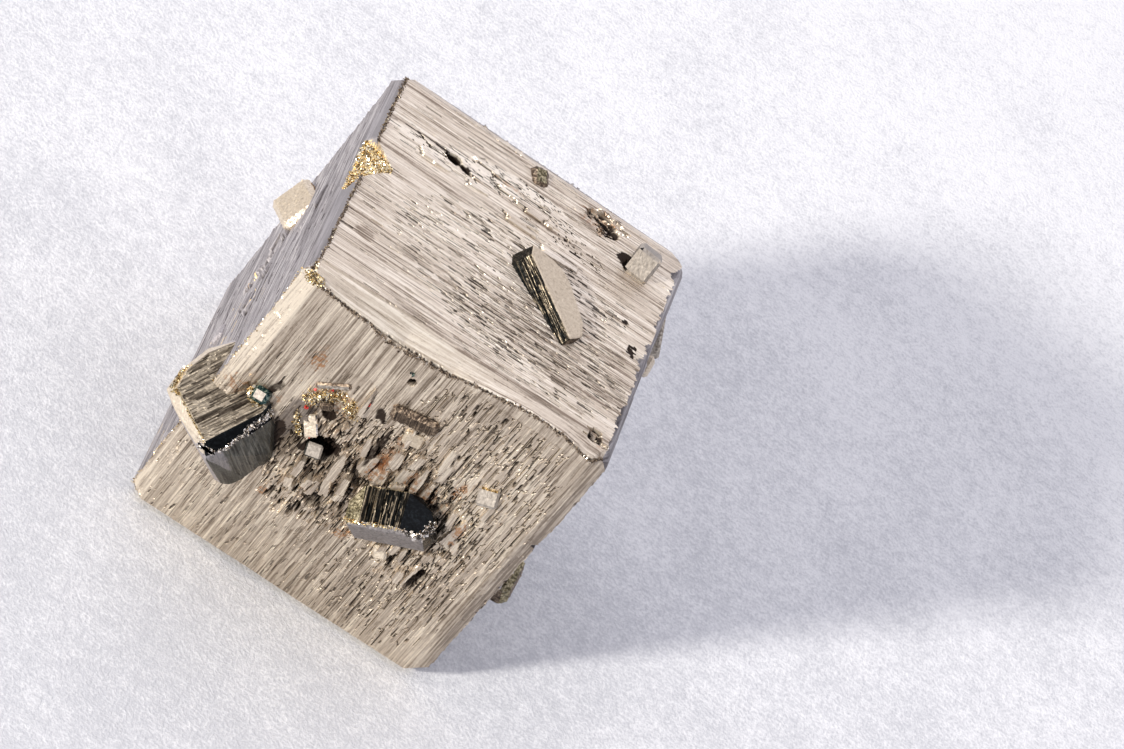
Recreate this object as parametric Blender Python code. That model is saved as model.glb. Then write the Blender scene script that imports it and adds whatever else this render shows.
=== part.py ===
"""Pyrite specimen: a striated cube of pyrite with smaller crystals grown into its faces.

The cube stands on one face. +Z is up, the broad broken face looks along -Y, the narrow
left face along -X, and the origin is the middle of the face that it rests on.
Each face carries striations along one direction only, and they turn from face to face:
along Z on the -Y and +Y faces, along X on the top and bottom, along Y on the -X and +X
faces. Each edge of the cube has one sloping band, on the face whose striations run along it.
All sizes are in millimetres and become metres where a mesh is made.
"""

import math
import random

import bmesh
import bpy
from mathutils import Matrix, Vector

MM = 0.001

# The cube.
WIDTH = 48.0  # along X
DEPTH = 46.0  # along Y
HEIGHT = 51.8  # along Z

# The sloping band along each edge: a pyritohedral face leans 26.6 degrees from the cube face.
BAND = 2.6
BAND_LEAN = math.radians(26.6)
OVERRUN = 4.0  # how far a slab runs past the cube, so that the next slab trims it

# The striations: lands of two or three levels, parted by steep risers.
LAND = (0.55, 1.7)
LEVELS = (0.0, 0.0, 0.12, 0.2, 0.3)
RISER = 0.12
STRIATION_SEED = 11

# The bottom keeps three broad level lands, and it stands on them.
FOOT_LAND = 11.6
FOOT_GROOVE = 1.1
FOOT_GROOVE_DEPTH = 0.35

# Splinters: short blocks broken from the growth layers, lying along the striations.
SPLINTER_WIDTH = (0.7, 1.6)
SPLINTER_RUN = (2.2, 5.6)
SPLINTER_RISE = (0.25, 0.7)
SPLINTER_SEED = 5

# The largest intergrown crystal lies across the front left edge: the lowest corner of its
# end face, how far that face leans and turns, and the worn edge round it.
CORNER_CRYSTAL_AT = (-20.1, -29.6, 21.5)
CORNER_CRYSTAL_LEAN = 42.0
CORNER_CRYSTAL_TURN = -42.0
CORNER_CRYSTAL_THICK = 16.0
CORNER_CRYSTAL_CHAMFER = 1.2
CORNER_GAP_RISE = 9.0

DARK_CRYSTAL_THICK = 7.0
DARK_CRYSTAL_CHAMFER = 0.5
BLADE_THICK = 3.4
BLADE_CHAMFER = 0.25
NOTCH_DEPTH = 4.0

CHAMFER = 0.35  # the worn edge of a small crystal
SUNK = 1.6  # how deep a splinter reaches into the face, and a pit's cutter out of it
PIT_MOUTH = 1.25  # a pit's cutter is this much wider than the pit above the face,
PIT_FLOOR = 0.7  # and this much narrower at its floor

PYRITE = (0.62, 0.56, 0.46, 1.0)
PYRITE_ROUGHNESS = 0.38
PYRITE_METALLIC = 0.9


def clear_scene():
    for item in list(bpy.data.objects):
        bpy.data.objects.remove(item, do_unlink=True)


def pyrite_material():
    material = bpy.data.materials.new("pyrite")
    material.use_nodes = True
    shader = material.node_tree.nodes["Principled BSDF"]
    shader.inputs["Base Color"].default_value = PYRITE
    shader.inputs["Roughness"].default_value = PYRITE_ROUGHNESS
    shader.inputs["Metallic"].default_value = PYRITE_METALLIC
    return material


def add_object(name, mesh):
    bmesh.ops.recalc_face_normals(mesh, faces=mesh.faces)
    bmesh.ops.scale(mesh, vec=(MM, MM, MM), verts=mesh.verts)
    data = bpy.data.meshes.new(name)
    mesh.to_mesh(data)
    mesh.free()
    item = bpy.data.objects.new(name, data)
    bpy.context.scene.collection.objects.link(item)
    return item


def combine(target, operation, tools):
    """Adds, cuts or intersects the tools one after another, and removes them."""
    for tool in tools:
        step = target.modifiers.new(tool.name, "BOOLEAN")
        step.operation = operation
        step.solver = "EXACT"
        step.object = tool
    graph = bpy.context.evaluated_depsgraph_get()
    done = bpy.data.meshes.new_from_object(target.evaluated_get(graph))
    target.modifiers.clear()
    target.data = done
    for tool in tools:
        bpy.data.objects.remove(tool, do_unlink=True)


# ---- the striated cube -------------------------------------------------------------------


def striated_profile(half, dice):
    """(across, recess) points of one face, from one edge band to the other."""
    slope = math.tan(BAND_LEAN)
    points = [(-half - OVERRUN, (BAND + OVERRUN) * slope), (-half + BAND, 0.0)]
    across = -half + BAND
    recess = 0.0
    while True:
        across += dice.uniform(*LAND)
        if across > half - BAND - LAND[0]:
            break
        points.append((across, recess))
        recess = dice.choice([level for level in LEVELS if level != recess])
        across += RISER
        points.append((across, recess))
    points.append((half - BAND - RISER, recess))
    points.append((half - BAND, 0.0))
    points.append((half + OVERRUN, (BAND + OVERRUN) * slope))
    return points


def resting_profile(half):
    """The bottom: level lands between shallow grooves, with the edge bands on both sides."""
    slope = math.tan(BAND_LEAN)
    points = [(-half - OVERRUN, (BAND + OVERRUN) * slope), (-half + BAND, 0.0)]
    for side in (-1, 1):
        middle = side * (FOOT_LAND + FOOT_GROOVE) / 2
        points.append((middle - FOOT_GROOVE / 2, 0.0))
        points.append((middle - FOOT_GROOVE / 2 + RISER, FOOT_GROOVE_DEPTH))
        points.append((middle + FOOT_GROOVE / 2 - RISER, FOOT_GROOVE_DEPTH))
        points.append((middle + FOOT_GROOVE / 2, 0.0))
    points.append((half - BAND, 0.0))
    points.append((half + OVERRUN, (BAND + OVERRUN) * slope))
    return points


def slab(name, low, high, gap, run, place):
    """A prism whose two long sides are striated faces; place(across, out, along) gives X, Y, Z."""
    outline = [(across, recess - gap / 2) for across, recess in low]
    outline += [(across, gap / 2 - recess) for across, recess in reversed(high)]
    mesh = bmesh.new()
    ends = []
    for along in (-run / 2 - OVERRUN, run / 2 + OVERRUN):
        ends.append([mesh.verts.new(place(across, out, along)) for across, out in outline])
    mesh.faces.new(ends[0])
    mesh.faces.new(reversed(ends[1]))
    for i in range(len(outline)):
        j = (i + 1) % len(outline)
        mesh.faces.new((ends[0][i], ends[0][j], ends[1][j], ends[1][i]))
    bmesh.ops.translate(mesh, vec=(0, 0, HEIGHT / 2), verts=mesh.verts)
    return add_object(name, mesh)


def striated_cube():
    dice = random.Random(STRIATION_SEED)
    front_back = slab(
        "pyrite_crystal",
        striated_profile(WIDTH / 2, dice),
        striated_profile(WIDTH / 2, dice),
        DEPTH,
        HEIGHT,
        lambda across, out, along: (across, out, along),
    )
    bottom_top = slab(
        "bottom_top",
        resting_profile(DEPTH / 2),
        striated_profile(DEPTH / 2, dice),
        HEIGHT,
        WIDTH,
        lambda across, out, along: (along, across, out),
    )
    left_right = slab(
        "left_right",
        striated_profile(HEIGHT / 2, dice),
        striated_profile(HEIGHT / 2, dice),
        WIDTH,
        DEPTH,
        lambda across, out, along: (out, along, across),
    )
    combine(front_back, "INTERSECT", [bottom_top, left_right])
    return front_back


# ---- crystals, splinters and pits --------------------------------------------------------


def pose(at, lean, turn, roll=0.0):
    """Tips a shape's own +Z from up towards -Y by lean, swings it round Z, and rolls it in its plane."""
    return (
        Matrix.Translation(Vector(at))
        @ Matrix.Rotation(math.radians(turn), 4, "Z")
        @ Matrix.Rotation(math.radians(lean), 4, "X")
        @ Matrix.Rotation(math.radians(roll), 4, "Z")
    )


def crystal(name, outline, thick, placed, chamfer=CHAMFER, foot=(0.0, 0.0), spread=1.0):
    """A flat-topped crystal: its outline lies at +Z and its foot, shifted and spread, below it."""
    mesh = bmesh.new()
    for x, y in outline:
        mesh.verts.new((x, y, 0.0))
        mesh.verts.new((x * spread + foot[0], y * spread + foot[1], -thick))
    bmesh.ops.convex_hull(mesh, input=mesh.verts)
    bmesh.ops.dissolve_limit(mesh, angle_limit=0.01, verts=mesh.verts, edges=mesh.edges)
    if chamfer:
        bmesh.ops.bevel(mesh, geom=mesh.edges[:], offset=chamfer, segments=1, affect="EDGES")
    bmesh.ops.transform(mesh, matrix=placed, verts=mesh.verts)
    return add_object(name, mesh)


def box_outline(width, length):
    return [
        (-width / 2, -length / 2),
        (width / 2, -length / 2),
        (width / 2, length / 2),
        (-width / 2, length / 2),
    ]


def front(x, z, out=0.0):
    """A point on the -Y face, or out past it."""
    return (x, -DEPTH / 2 - out, z)


def top(x, y, out=0.0):
    return (x, y, HEIGHT + out)


def left(y, z, out=0.0):
    return (-WIDTH / 2 - out, y, z)


def right(y, z, out=0.0):
    return (WIDTH / 2 + out, y, z)


def back(x, z, out=0.0):
    return (x, DEPTH / 2 + out, z)


def cutter(name, mouth, floor, high, low, placed):
    """A hull that cuts from its mouth, at this height over the surface, down to its floor."""
    mesh = bmesh.new()
    for x, y in mouth:
        mesh.verts.new((x, y, high))
    for x, y in floor:
        mesh.verts.new((x, y, low))
    bmesh.ops.convex_hull(mesh, input=mesh.verts)
    bmesh.ops.transform(mesh, matrix=placed, verts=mesh.verts)
    return add_object(name, mesh)


def corner_pose():
    return pose(CORNER_CRYSTAL_AT, CORNER_CRYSTAL_LEAN, CORNER_CRYSTAL_TURN)


def corner_crystal():
    """The largest intergrown crystal, square-ended, across the edge of the front and left faces."""
    outline = [(0.7, -1.0), (0.7, 10.6), (-12.4, 10.6), (-12.4, 3.0), (-11.0, -1.0)]
    thick = CORNER_CRYSTAL_THICK
    return crystal("corner_crystal", outline, thick, corner_pose(), chamfer=CORNER_CRYSTAL_CHAMFER)


def corner_gap():
    """The cube did not grow over the end of the corner crystal: its edge stops short above it."""
    outline = [(-8.6, 1.6), (-6.3, 3.6), (-5.2, 6.4), (-4.6, 8.9), (-2.6, 10.0)]
    outline += [(2.0, 9.0), (2.0, -2.5), (-13.0, -2.5)]
    return cutter("corner_gap", outline, outline, CORNER_GAP_RISE, 0.0, corner_pose())


def dark_crystal():
    """The wide crystal low on the front, its striated end looking up and out."""
    outline = [(-4.8, -2.9), (6.4, -2.9), (7.2, 1.6), (5.0, 3.2), (3.0, 3.9), (-2.6, 3.7), (-5.3, 0.0)]
    placed = pose((3.7, -26.1, 26.0), 46, -38, 46)
    thick = DARK_CRYSTAL_THICK
    return crystal("dark_crystal", outline, thick, placed, chamfer=DARK_CRYSTAL_CHAMFER)


def blade():
    """A long lath on the top face, its left side sloping down to the face."""
    outline = [(1.7, 6.9), (3.0, 8.3), (4.7, 3.6), (4.3, 1.6), (1.7, -4.4), (0.0, -5.8), (-2.3, -5.2)]
    placed = pose(top(7.6, -3.5, 1.6), 6, 63)
    shape = {"chamfer": BLADE_CHAMFER, "foot": (-1.9, 0.3), "spread": 1.06}
    return crystal("blade", outline, BLADE_THICK, placed, **shape)


def small_crystals():
    """The little cubes and blocks on every face, as (name, width, length, thick, placement)."""
    made = [
        ("edge_block", 2.9, 3.5, 4.0, pose(top(16.6, 12.2, 2.1), 62, -7)),
        ("brown_bead", 2.7, 3.4, 1.6, pose(top(-0.4, 18.6, 0.45), 8, 20)),
        ("pit_cube", 2.3, 2.1, 2.6, pose(front(-7.7, 25.2, -0.1), 69, -9, 20)),
        ("pit_column", 2.0, 3.2, 2.2, pose(front(-10.2, 28.7, 0.1), 69, -9, 40)),
        ("bright_block", 2.9, 2.6, 2.4, pose(front(14.0, 35.7, 0.7), 58, -11, 25)),
        ("foot_block", 2.0, 2.0, 2.0, pose(front(7.9, 16.8, 0.4), 79, -11, 30)),
        ("edge_bead", 2.4, 2.2, 2.4, pose((-18.2, -24.2, 29.4), 60, -20, 15)),
        ("lath_inclusion", 6.6, 3.0, 1.8, pose(front(0.0, 39.4, 0.25), 90, 0, 12)),
        ("flat_chip", 2.8, 2.2, 1.8, pose(front(1.6, 36.4, 0.3), 86, 6, 8)),
        ("left_block", 6.4, 5.6, 7.0, pose(left(13.5, 29.5, 1.2), 62, -78, 24)),
        ("left_chip", 3.2, 2.4, 2.2, pose(left(-2.0, 15.0, 0.5), 84, -90, 12)),
        ("right_block", 5.2, 4.0, 6.0, pose(right(18.0, 41.0, 2.6), 66, 98, 20)),
        ("right_bead", 2.8, 2.4, 3.4, pose(right(8.8, 42.8, 2.2), 76, 80, 40)),
        ("right_lump", 6.6, 4.8, 6.0, pose(right(-12.4, 16.0, 3.3), 74, 84, 14)),
        ("back_block", 6.0, 5.0, 6.0, pose(back(8.6, 33.0, 2.0), 76, 168, 18)),
        ("back_chip", 3.0, 3.6, 3.0, pose(back(-11.4, 17.0, 0.8), 84, 186, 34)),
    ]
    return [crystal(name, box_outline(w, l), thick, placed) for name, w, l, thick, placed in made]


def splinters(name, count, dice, spot, lean, turn):
    """Broken blocks scattered over part of a face, each along that face's striations."""
    made = []
    for i in range(count):
        width = dice.uniform(*SPLINTER_WIDTH)
        run = dice.uniform(*SPLINTER_RUN)
        rise = dice.uniform(*SPLINTER_RISE)
        tip = dice.uniform(-7, 7)
        placed = pose(spot(dice, rise), lean, turn + tip / 3, tip)
        item = crystal(f"{name}_{i}", box_outline(width, run), rise + SUNK, placed, chamfer=0.0)
        made.append(item)
    return made


def all_splinters():
    dice = random.Random(SPLINTER_SEED)
    made = splinters(
        "front_splinter",
        26,
        dice,
        lambda d, rise: front(d.triangular(-10, 16, 4), d.triangular(13, 43, 24), rise),
        90,
        0,
    )
    made += splinters(
        "top_splinter",
        16,
        dice,
        lambda d, rise: top(d.uniform(-15, 9), d.triangular(6, 17, 12), rise),
        0,
        90,
    )
    made += splinters(
        "left_splinter",
        8,
        dice,
        lambda d, rise: left(d.uniform(-14, 12), d.uniform(10, 44), rise),
        90,
        -90,
    )
    return made


def pit(name, outline, deep, placed):
    """A cutter that leaves a hollow of this depth under the face, wider at its mouth."""
    mouth = [(x * PIT_MOUTH, y * PIT_MOUTH) for x, y in outline]
    floor = [(x * PIT_FLOOR, y * PIT_FLOOR) for x, y in outline]
    return cutter(name, mouth, floor, SUNK, -deep, placed)


def oval(width, length, sides=7):
    turns = [2 * math.pi * i / sides for i in range(sides)]
    return [(width / 2 * math.cos(turn), length / 2 * math.sin(turn)) for turn in turns]


def all_pits():
    return [
        pit("crumb_hollow", oval(6.4, 6.8, 9), 1.1, pose(front(-9.0, 32.1), 90, 0)),
        pit("cube_hollow", oval(4.4, 4.8), 1.9, pose(front(-7.4, 25.6), 90, 0)),
        pit("pin_hole", oval(1.0, 1.1), 1.2, pose(front(-3.5, 44.5), 90, 0)),
        pit("dark_hollow", oval(12.0, 7.0, 9), 1.6, pose(front(5.0, 22.6), 90, 0, 28)),
        pit("low_crack", oval(1.5, 5.0), 1.1, pose(front(14.0, 16.0), 90, 0, 12)),
        pit("top_pit", oval(2.8, 1.7), 1.3, pose(top(-12.0, 11.5), 0, 0, -20)),
        pit("brown_pit", oval(4.8, 4.4), 1.0, pose(top(10.2, 17.9), 0, 0)),
        pit("corner_pit", oval(2.8, 3.0), 1.1, pose(top(20.2, -20.6), 0, 0)),
        pit("left_pit", oval(3.0, 7.0), 1.0, pose(left(6.0, 22.0), 90, -90, 70)),
        pit("back_pit", oval(7.0, 5.0, 9), 1.3, pose(back(2.0, 14.0), 90, 180)),
        pit("right_pit", oval(4.0, 8.0, 9), 1.1, pose(right(2.0, 26.0), 90, 90, 80)),
    ]


def golden_notch():
    """A wedge gone from the edge of the top and left faces, where small crystals sparkle."""
    outline = [(7.7, 3.2), (-3.3, 3.2), (0.9, -2.6), (6.9, -2.3)]
    placed = pose(top(-22.6, 0.4, -0.9), 14, -84)
    return cutter("golden_notch", outline, outline, NOTCH_DEPTH, 0.0, placed)


def main():
    clear_scene()
    specimen = striated_cube()
    combine(specimen, "UNION", all_splinters())
    combine(specimen, "DIFFERENCE", all_pits() + [golden_notch(), corner_gap()])
    combine(specimen, "UNION", [corner_crystal(), dark_crystal(), blade()] + small_crystals())
    specimen.data.materials.clear()
    specimen.data.materials.append(pyrite_material())


main()
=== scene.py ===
# %% [markdown]
# # Pyrite specimen
# A single cube of pyrite with smaller crystals grown into its faces. Pyrite's cube faces
# are never flat: two forms compete as it grows, and the faces keep the fight as fine lines,
# the striations. They run one way only on each face and turn from face to face.
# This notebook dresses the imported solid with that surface, crystal by crystal.

# %% Load the solid
import math
import random

import bmesh
import bpy
import numpy as np
from mathutils import Matrix, Vector, noise


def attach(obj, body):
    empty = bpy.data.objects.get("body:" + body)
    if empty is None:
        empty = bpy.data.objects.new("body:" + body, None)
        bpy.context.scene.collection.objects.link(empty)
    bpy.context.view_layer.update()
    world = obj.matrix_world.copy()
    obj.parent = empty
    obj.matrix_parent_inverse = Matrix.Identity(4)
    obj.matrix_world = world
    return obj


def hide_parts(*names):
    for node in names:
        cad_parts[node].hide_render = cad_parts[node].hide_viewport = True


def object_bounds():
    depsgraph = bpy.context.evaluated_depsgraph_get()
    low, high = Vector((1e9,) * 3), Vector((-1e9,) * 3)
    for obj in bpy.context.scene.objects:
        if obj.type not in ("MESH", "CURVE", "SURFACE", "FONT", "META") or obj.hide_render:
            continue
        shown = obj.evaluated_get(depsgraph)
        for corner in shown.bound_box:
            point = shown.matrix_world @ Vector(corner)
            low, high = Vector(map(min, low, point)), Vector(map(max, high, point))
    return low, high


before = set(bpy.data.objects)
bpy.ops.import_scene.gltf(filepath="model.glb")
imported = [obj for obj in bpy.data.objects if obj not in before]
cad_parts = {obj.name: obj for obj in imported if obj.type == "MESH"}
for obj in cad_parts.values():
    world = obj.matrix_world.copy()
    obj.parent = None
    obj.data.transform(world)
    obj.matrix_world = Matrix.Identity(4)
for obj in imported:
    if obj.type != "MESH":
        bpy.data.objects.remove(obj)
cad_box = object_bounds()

print("nodes:", sorted(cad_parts), "box:", [[round(v, 4) for v in corner] for corner in cad_box])

# %% [markdown]
# ## Sizes
# All sizes are in millimetres in the frame of the solid: the stone stands on Z = 0, the broad
# broken face looks along -Y (the front), the narrow one along -X (the left side).
# Each edge of the cube has one sloping band, on the face whose striations run along it.

# %% Sizes
MM = 0.001
LOW = np.array([-24.0, -23.0, 0.0])
HIGH = np.array([24.0, 23.0, 51.8])
BAND = 2.6
# The bands belong to the pyritohedron, whose faces lean 26.6 degrees from the cube's.
BAND_SLOPE = math.tan(math.radians(26.6))
AXES = "XYZ"
FACES = {"front": (1, -1), "back": (1, 1), "top": (2, 1), "bottom": (2, -1), "left": (0, -1), "right": (0, 1)}


def wall(axis, side):
    """Where the cube ends along an axis, on its low side (-1) or its high side (1)."""
    return LOW[axis] if side < 0 else HIGH[axis]


def across_axis(normal_axis):
    """The axis that a face's striations are counted along."""
    return (normal_axis - 1) % 3


def along_axis(normal_axis):
    """The axis that a face's striations run along."""
    return (normal_axis + 1) % 3


for name, (axis, _) in FACES.items():
    print(f"{name}: striations run along {AXES[along_axis(axis)]}")

# %% [markdown]
# ## Camera
# A long lens from about 0.8 m, rolled, so that the cube seems to balance on an edge.

# %% Camera
CAMERA_AT = Vector((-113.8, -609.3, 545.0)) * MM
CAMERA_RIGHT = Vector((0.8233, 0.2478, 0.5106))
CAMERA_FORWARD = Vector((0.1615, 0.7602, -0.6293))
SENSOR = 36.0
LENS = 192.17
CLIP_END = 20.0

camera_data = bpy.data.cameras.new("camera")
camera_data.sensor_fit = "HORIZONTAL"
camera_data.sensor_width = SENSOR
camera_data.lens = LENS
camera_data.clip_end = CLIP_END
camera = bpy.data.objects.new("camera", camera_data)
bpy.context.scene.collection.objects.link(camera)
forward = CAMERA_FORWARD.normalized()
right = (CAMERA_RIGHT - forward * CAMERA_RIGHT.dot(forward)).normalized()
up = right.cross(forward)
turned = Matrix((right, up, -forward)).transposed().to_4x4()
camera.matrix_world = Matrix.Translation(CAMERA_AT) @ turned
bpy.context.scene.camera = camera
bpy.context.scene.view_settings.view_transform = "Standard"
print("camera at", [round(v, 3) for v in CAMERA_AT], "lens", LENS)

# %% [markdown]
# ## The light
# One small round softbox, low at the front left, is the only lamp. It stands well away, so the
# shadow keeps a firm edge and lies long to the right, and the top face is lit at a glancing angle
# that shows its striations.

# %% Light
KEY_FROM = Vector((-0.683, -0.73, 0.0)).normalized()
KEY_LIFT = math.radians(20.0)
KEY_DISTANCE = 2.4
KEY_SIZE = 0.24
KEY_POWER = 82.0
KEY_COLOUR = (1.0, 0.955, 0.885)

middle = Vector((0.0, 0.0, HIGH[2] / 2)) * MM
key_direction = KEY_FROM * math.cos(KEY_LIFT) + Vector((0, 0, math.sin(KEY_LIFT)))
key_data = bpy.data.lights.new("key", "AREA")
key_data.shape = "DISK"
key_data.size = KEY_SIZE
key_data.energy = KEY_POWER
key_data.color = KEY_COLOUR
key = bpy.data.objects.new("key", key_data)
bpy.context.scene.collection.objects.link(key)
key.location = middle + key_direction * KEY_DISTANCE
key.rotation_euler = (middle - key.location).to_track_quat("-Z", "Y").to_euler()
print("key light from", [round(v, 2) for v in key_direction])

# %% [markdown]
# ## Writing shaders as sums
# A node tree is easier to read as a formula. This small class wraps one output of a tree:
# Python's operators on it add the matching Math node, and its methods add the others.

# %% A socket that does arithmetic


class Value:
    """One output of a node tree, usable in Python expressions."""

    def __init__(self, tree, socket):
        self.tree = tree
        self.socket = socket

    def node(self, kind, settings=None, inputs=None, output=0):
        """Adds any node: its settings first, then its inputs by name or number."""
        new = self.tree.nodes.new(kind)
        for key, value in (settings or {}).items():
            setattr(new, key, value)
        for key, value in (inputs or {}).items():
            if isinstance(value, Value):
                self.tree.links.new(value.socket, new.inputs[key])
            else:
                new.inputs[key].default_value = value
        return Value(self.tree, new.outputs[output])

    def math(self, operation, *others, clamp=False):
        inputs = {i: other for i, other in enumerate((self,) + others)}
        return self.node("ShaderNodeMath", {"operation": operation, "use_clamp": clamp}, inputs)

    def vector_math(self, operation, other, output=0):
        inputs = {0: self, 1: other}
        return self.node("ShaderNodeVectorMath", {"operation": operation}, inputs, output)

    def __add__(self, other):
        return self.math("ADD", other)

    def __sub__(self, other):
        return self.math("SUBTRACT", other)

    def __rsub__(self, other):
        return self.math("MULTIPLY", -1.0).math("ADD", other)

    def __mul__(self, other):
        return self.math("MULTIPLY", other)

    def __truediv__(self, other):
        return self.math("DIVIDE", other)

    __radd__ = __add__
    __rmul__ = __mul__

    def clamp(self):
        return self.math("ADD", 0.0, clamp=True)

    def step(self, low, high):
        """0 up to low, 1 from high, and smooth between."""
        settings = {"interpolation_type": "SMOOTHSTEP"}
        return self.node("ShaderNodeMapRange", settings, {"Value": self, "From Min": low, "From Max": high})

    def mix(self, first, second):
        """The colour between first and second, with this value as the share of second."""
        settings = {"data_type": "RGBA", "clamp_factor": True}
        return self.node("ShaderNodeMix", settings, {0: self, 6: first, 7: second}, output=2)

    def noise(self, scale, detail=3.0, rough=0.55):
        """Smooth noise of this many bumps per unit, read at this vector."""
        inputs = {"Vector": self, "Scale": scale, "Detail": detail, "Roughness": rough}
        return self.node("ShaderNodeTexNoise", {}, inputs)

    def bump(self, distance, strength):
        return self.node("ShaderNodeBump", {}, {"Height": self, "Distance": distance, "Strength": strength})


print("sockets add, subtract, multiply and divide")

# %% [markdown]
# ## A finish
# Every material here is one Principled shader. Its pattern is read either at the object's own
# coordinates or at the place stored in each point of a mesh, so that it moves with the stone.

# %% Finishes
def rgb(red, green, blue):
    return (red, green, blue, 1.0)


class Finish:
    """A material with one Principled shader, and the coordinates that its pattern is read at."""

    def __init__(self, name, by_mesh=True):
        self.material = bpy.data.materials.new(name)
        self.material.use_nodes = True
        self.tree = self.material.node_tree
        self.shader = self.tree.nodes["Principled BSDF"]
        start = Value(self.tree, None)
        self.start = start
        if by_mesh:
            self.place = start.node("ShaderNodeAttribute", {"attribute_name": "place"}, output=1)
        else:
            metres = start.node("ShaderNodeTexCoord", output=3)
            self.place = metres.vector_math("MULTIPLY", (1 / MM, 1 / MM, 1 / MM))

    def attribute(self, name):
        """A layer stored in the points of the mesh."""
        return self.start.node("ShaderNodeAttribute", {"attribute_name": name}, output=2)

    def set(self, **sockets):
        """Sets or links the shader's own sockets: Base_Color=..., Roughness=..."""
        for key, value in sockets.items():
            socket = self.shader.inputs[key.replace("_", " ")]
            if isinstance(value, Value):
                self.tree.links.new(value.socket, socket)
            else:
                socket.default_value = value
        return self.material


print("shader helpers ready")

# %% [markdown]
# ## The floor
# A pale napped cloth: nearly white, faintly mottled, with a soft grain about a millimetre wide.
# It is painted a little lighter with distance: painted light, brighter towards the back.

# %% Floor
FLOOR_HALF = 3.0
CLOTH_DULL = rgb(0.60, 0.61, 0.64)
CLOTH_PALE = rgb(0.89, 0.895, 0.91)
LIGHTER_OVER = 420.0


def floor_finish():
    cloth = Finish("pale_cloth", by_mesh=False)
    grain = cloth.place.noise(1.9, 3.0, 0.7)
    nap = cloth.place.noise(0.5, 2.0, 0.6)
    mottle = cloth.place.noise(0.05, 2.0)
    away = cloth.place.node("ShaderNodeSeparateXYZ", inputs={0: cloth.place}, output=1)
    # The away / LIGHTER_OVER term is painted light: the cloth grows lighter further back.
    level = (mottle - 0.5) * 0.7 + (grain - 0.5) * 2.0 + (nap - 0.5) * 1.0 + away / LIGHTER_OVER + 0.45
    pale = level.step(0.0, 1.1).mix(CLOTH_DULL, CLOTH_PALE)
    return cloth.set(Base_Color=pale, Roughness=0.95, Normal=grain.bump(0.0004, 0.5))


floor_mesh = bpy.data.meshes.new("floor")
floor_corners = [(x * FLOOR_HALF, y * FLOOR_HALF, 0) for x, y in ((-1, -1), (1, -1), (1, 1), (-1, 1))]
floor_mesh.from_pydata(floor_corners, [], [(0, 1, 2, 3)])
floor_mesh.materials.append(floor_finish())
floor = bpy.data.objects.new("floor", floor_mesh)
bpy.context.scene.collection.objects.link(floor)
print("floor:", 2 * FLOOR_HALF, "m wide")

# %% [markdown]
# ## The room
# Pyrite is nearly a mirror, so its faces show what stands around it. The room is bright up and
# behind the stone, and dim on the camera's side: that leaves the facets that look at the camera
# almost black. A smooth step between the two keeps it a soft studio, with no edges to reflect.

# %% Room
SOFTBOX_AXIS = (0.15, 0.75, 0.64)
ROOM_DIM = rgb(0.10, 0.105, 0.12)
ROOM_BRIGHT = rgb(0.96, 0.945, 1.035)

room = bpy.data.worlds.new("room")
bpy.context.scene.world = room
room.use_nodes = True
room_direction = Value(room.node_tree, None).node("ShaderNodeTexCoord", output=0)
facing = room_direction.vector_math("DOT_PRODUCT", SOFTBOX_AXIS, output=1)
room_light = facing.step(-0.75, 0.85).mix(ROOM_DIM, ROOM_BRIGHT)
room.node_tree.links.new(room_light.socket, room.node_tree.nodes["Background"].inputs[0])
print("room: brightest towards", SOFTBOX_AXIS)

# %% [markdown]
# ## The relief of a striated face
# Each face is a stack of growth layers, seen edge-on. The relief is painted in code on small
# cells, layer over layer: long lands first, then broken plates, then the lines and pits between
# them. Along with its depth, each cell keeps how dark, light, warm and golden it is.

# %% Relief
LAYERS = ("dark", "tone", "warm", "gold")
CELL = (0.065, 0.12)


def cloud(shape, size, seed):
    """Smooth random values from -1 to 1 over a grid, in patches about this many cells wide."""
    knots = [int(shape[k] / size[k]) + 3 for k in (0, 1)]
    coarse = np.random.default_rng(seed).uniform(-1, 1, knots)
    at = [np.arange(shape[k]) / size[k] for k in (0, 1)]
    low = [a.astype(int) for a in at]
    share = [a - b for a, b in zip(at, low)]
    share = [s * s * (3 - 2 * s) for s in share]
    rows = coarse[low[0]] * (1 - share[0])[:, None] + coarse[low[0] + 1] * share[0][:, None]
    return rows[:, low[1]] * (1 - share[1]) + rows[:, low[1] + 1] * share[1]


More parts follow.
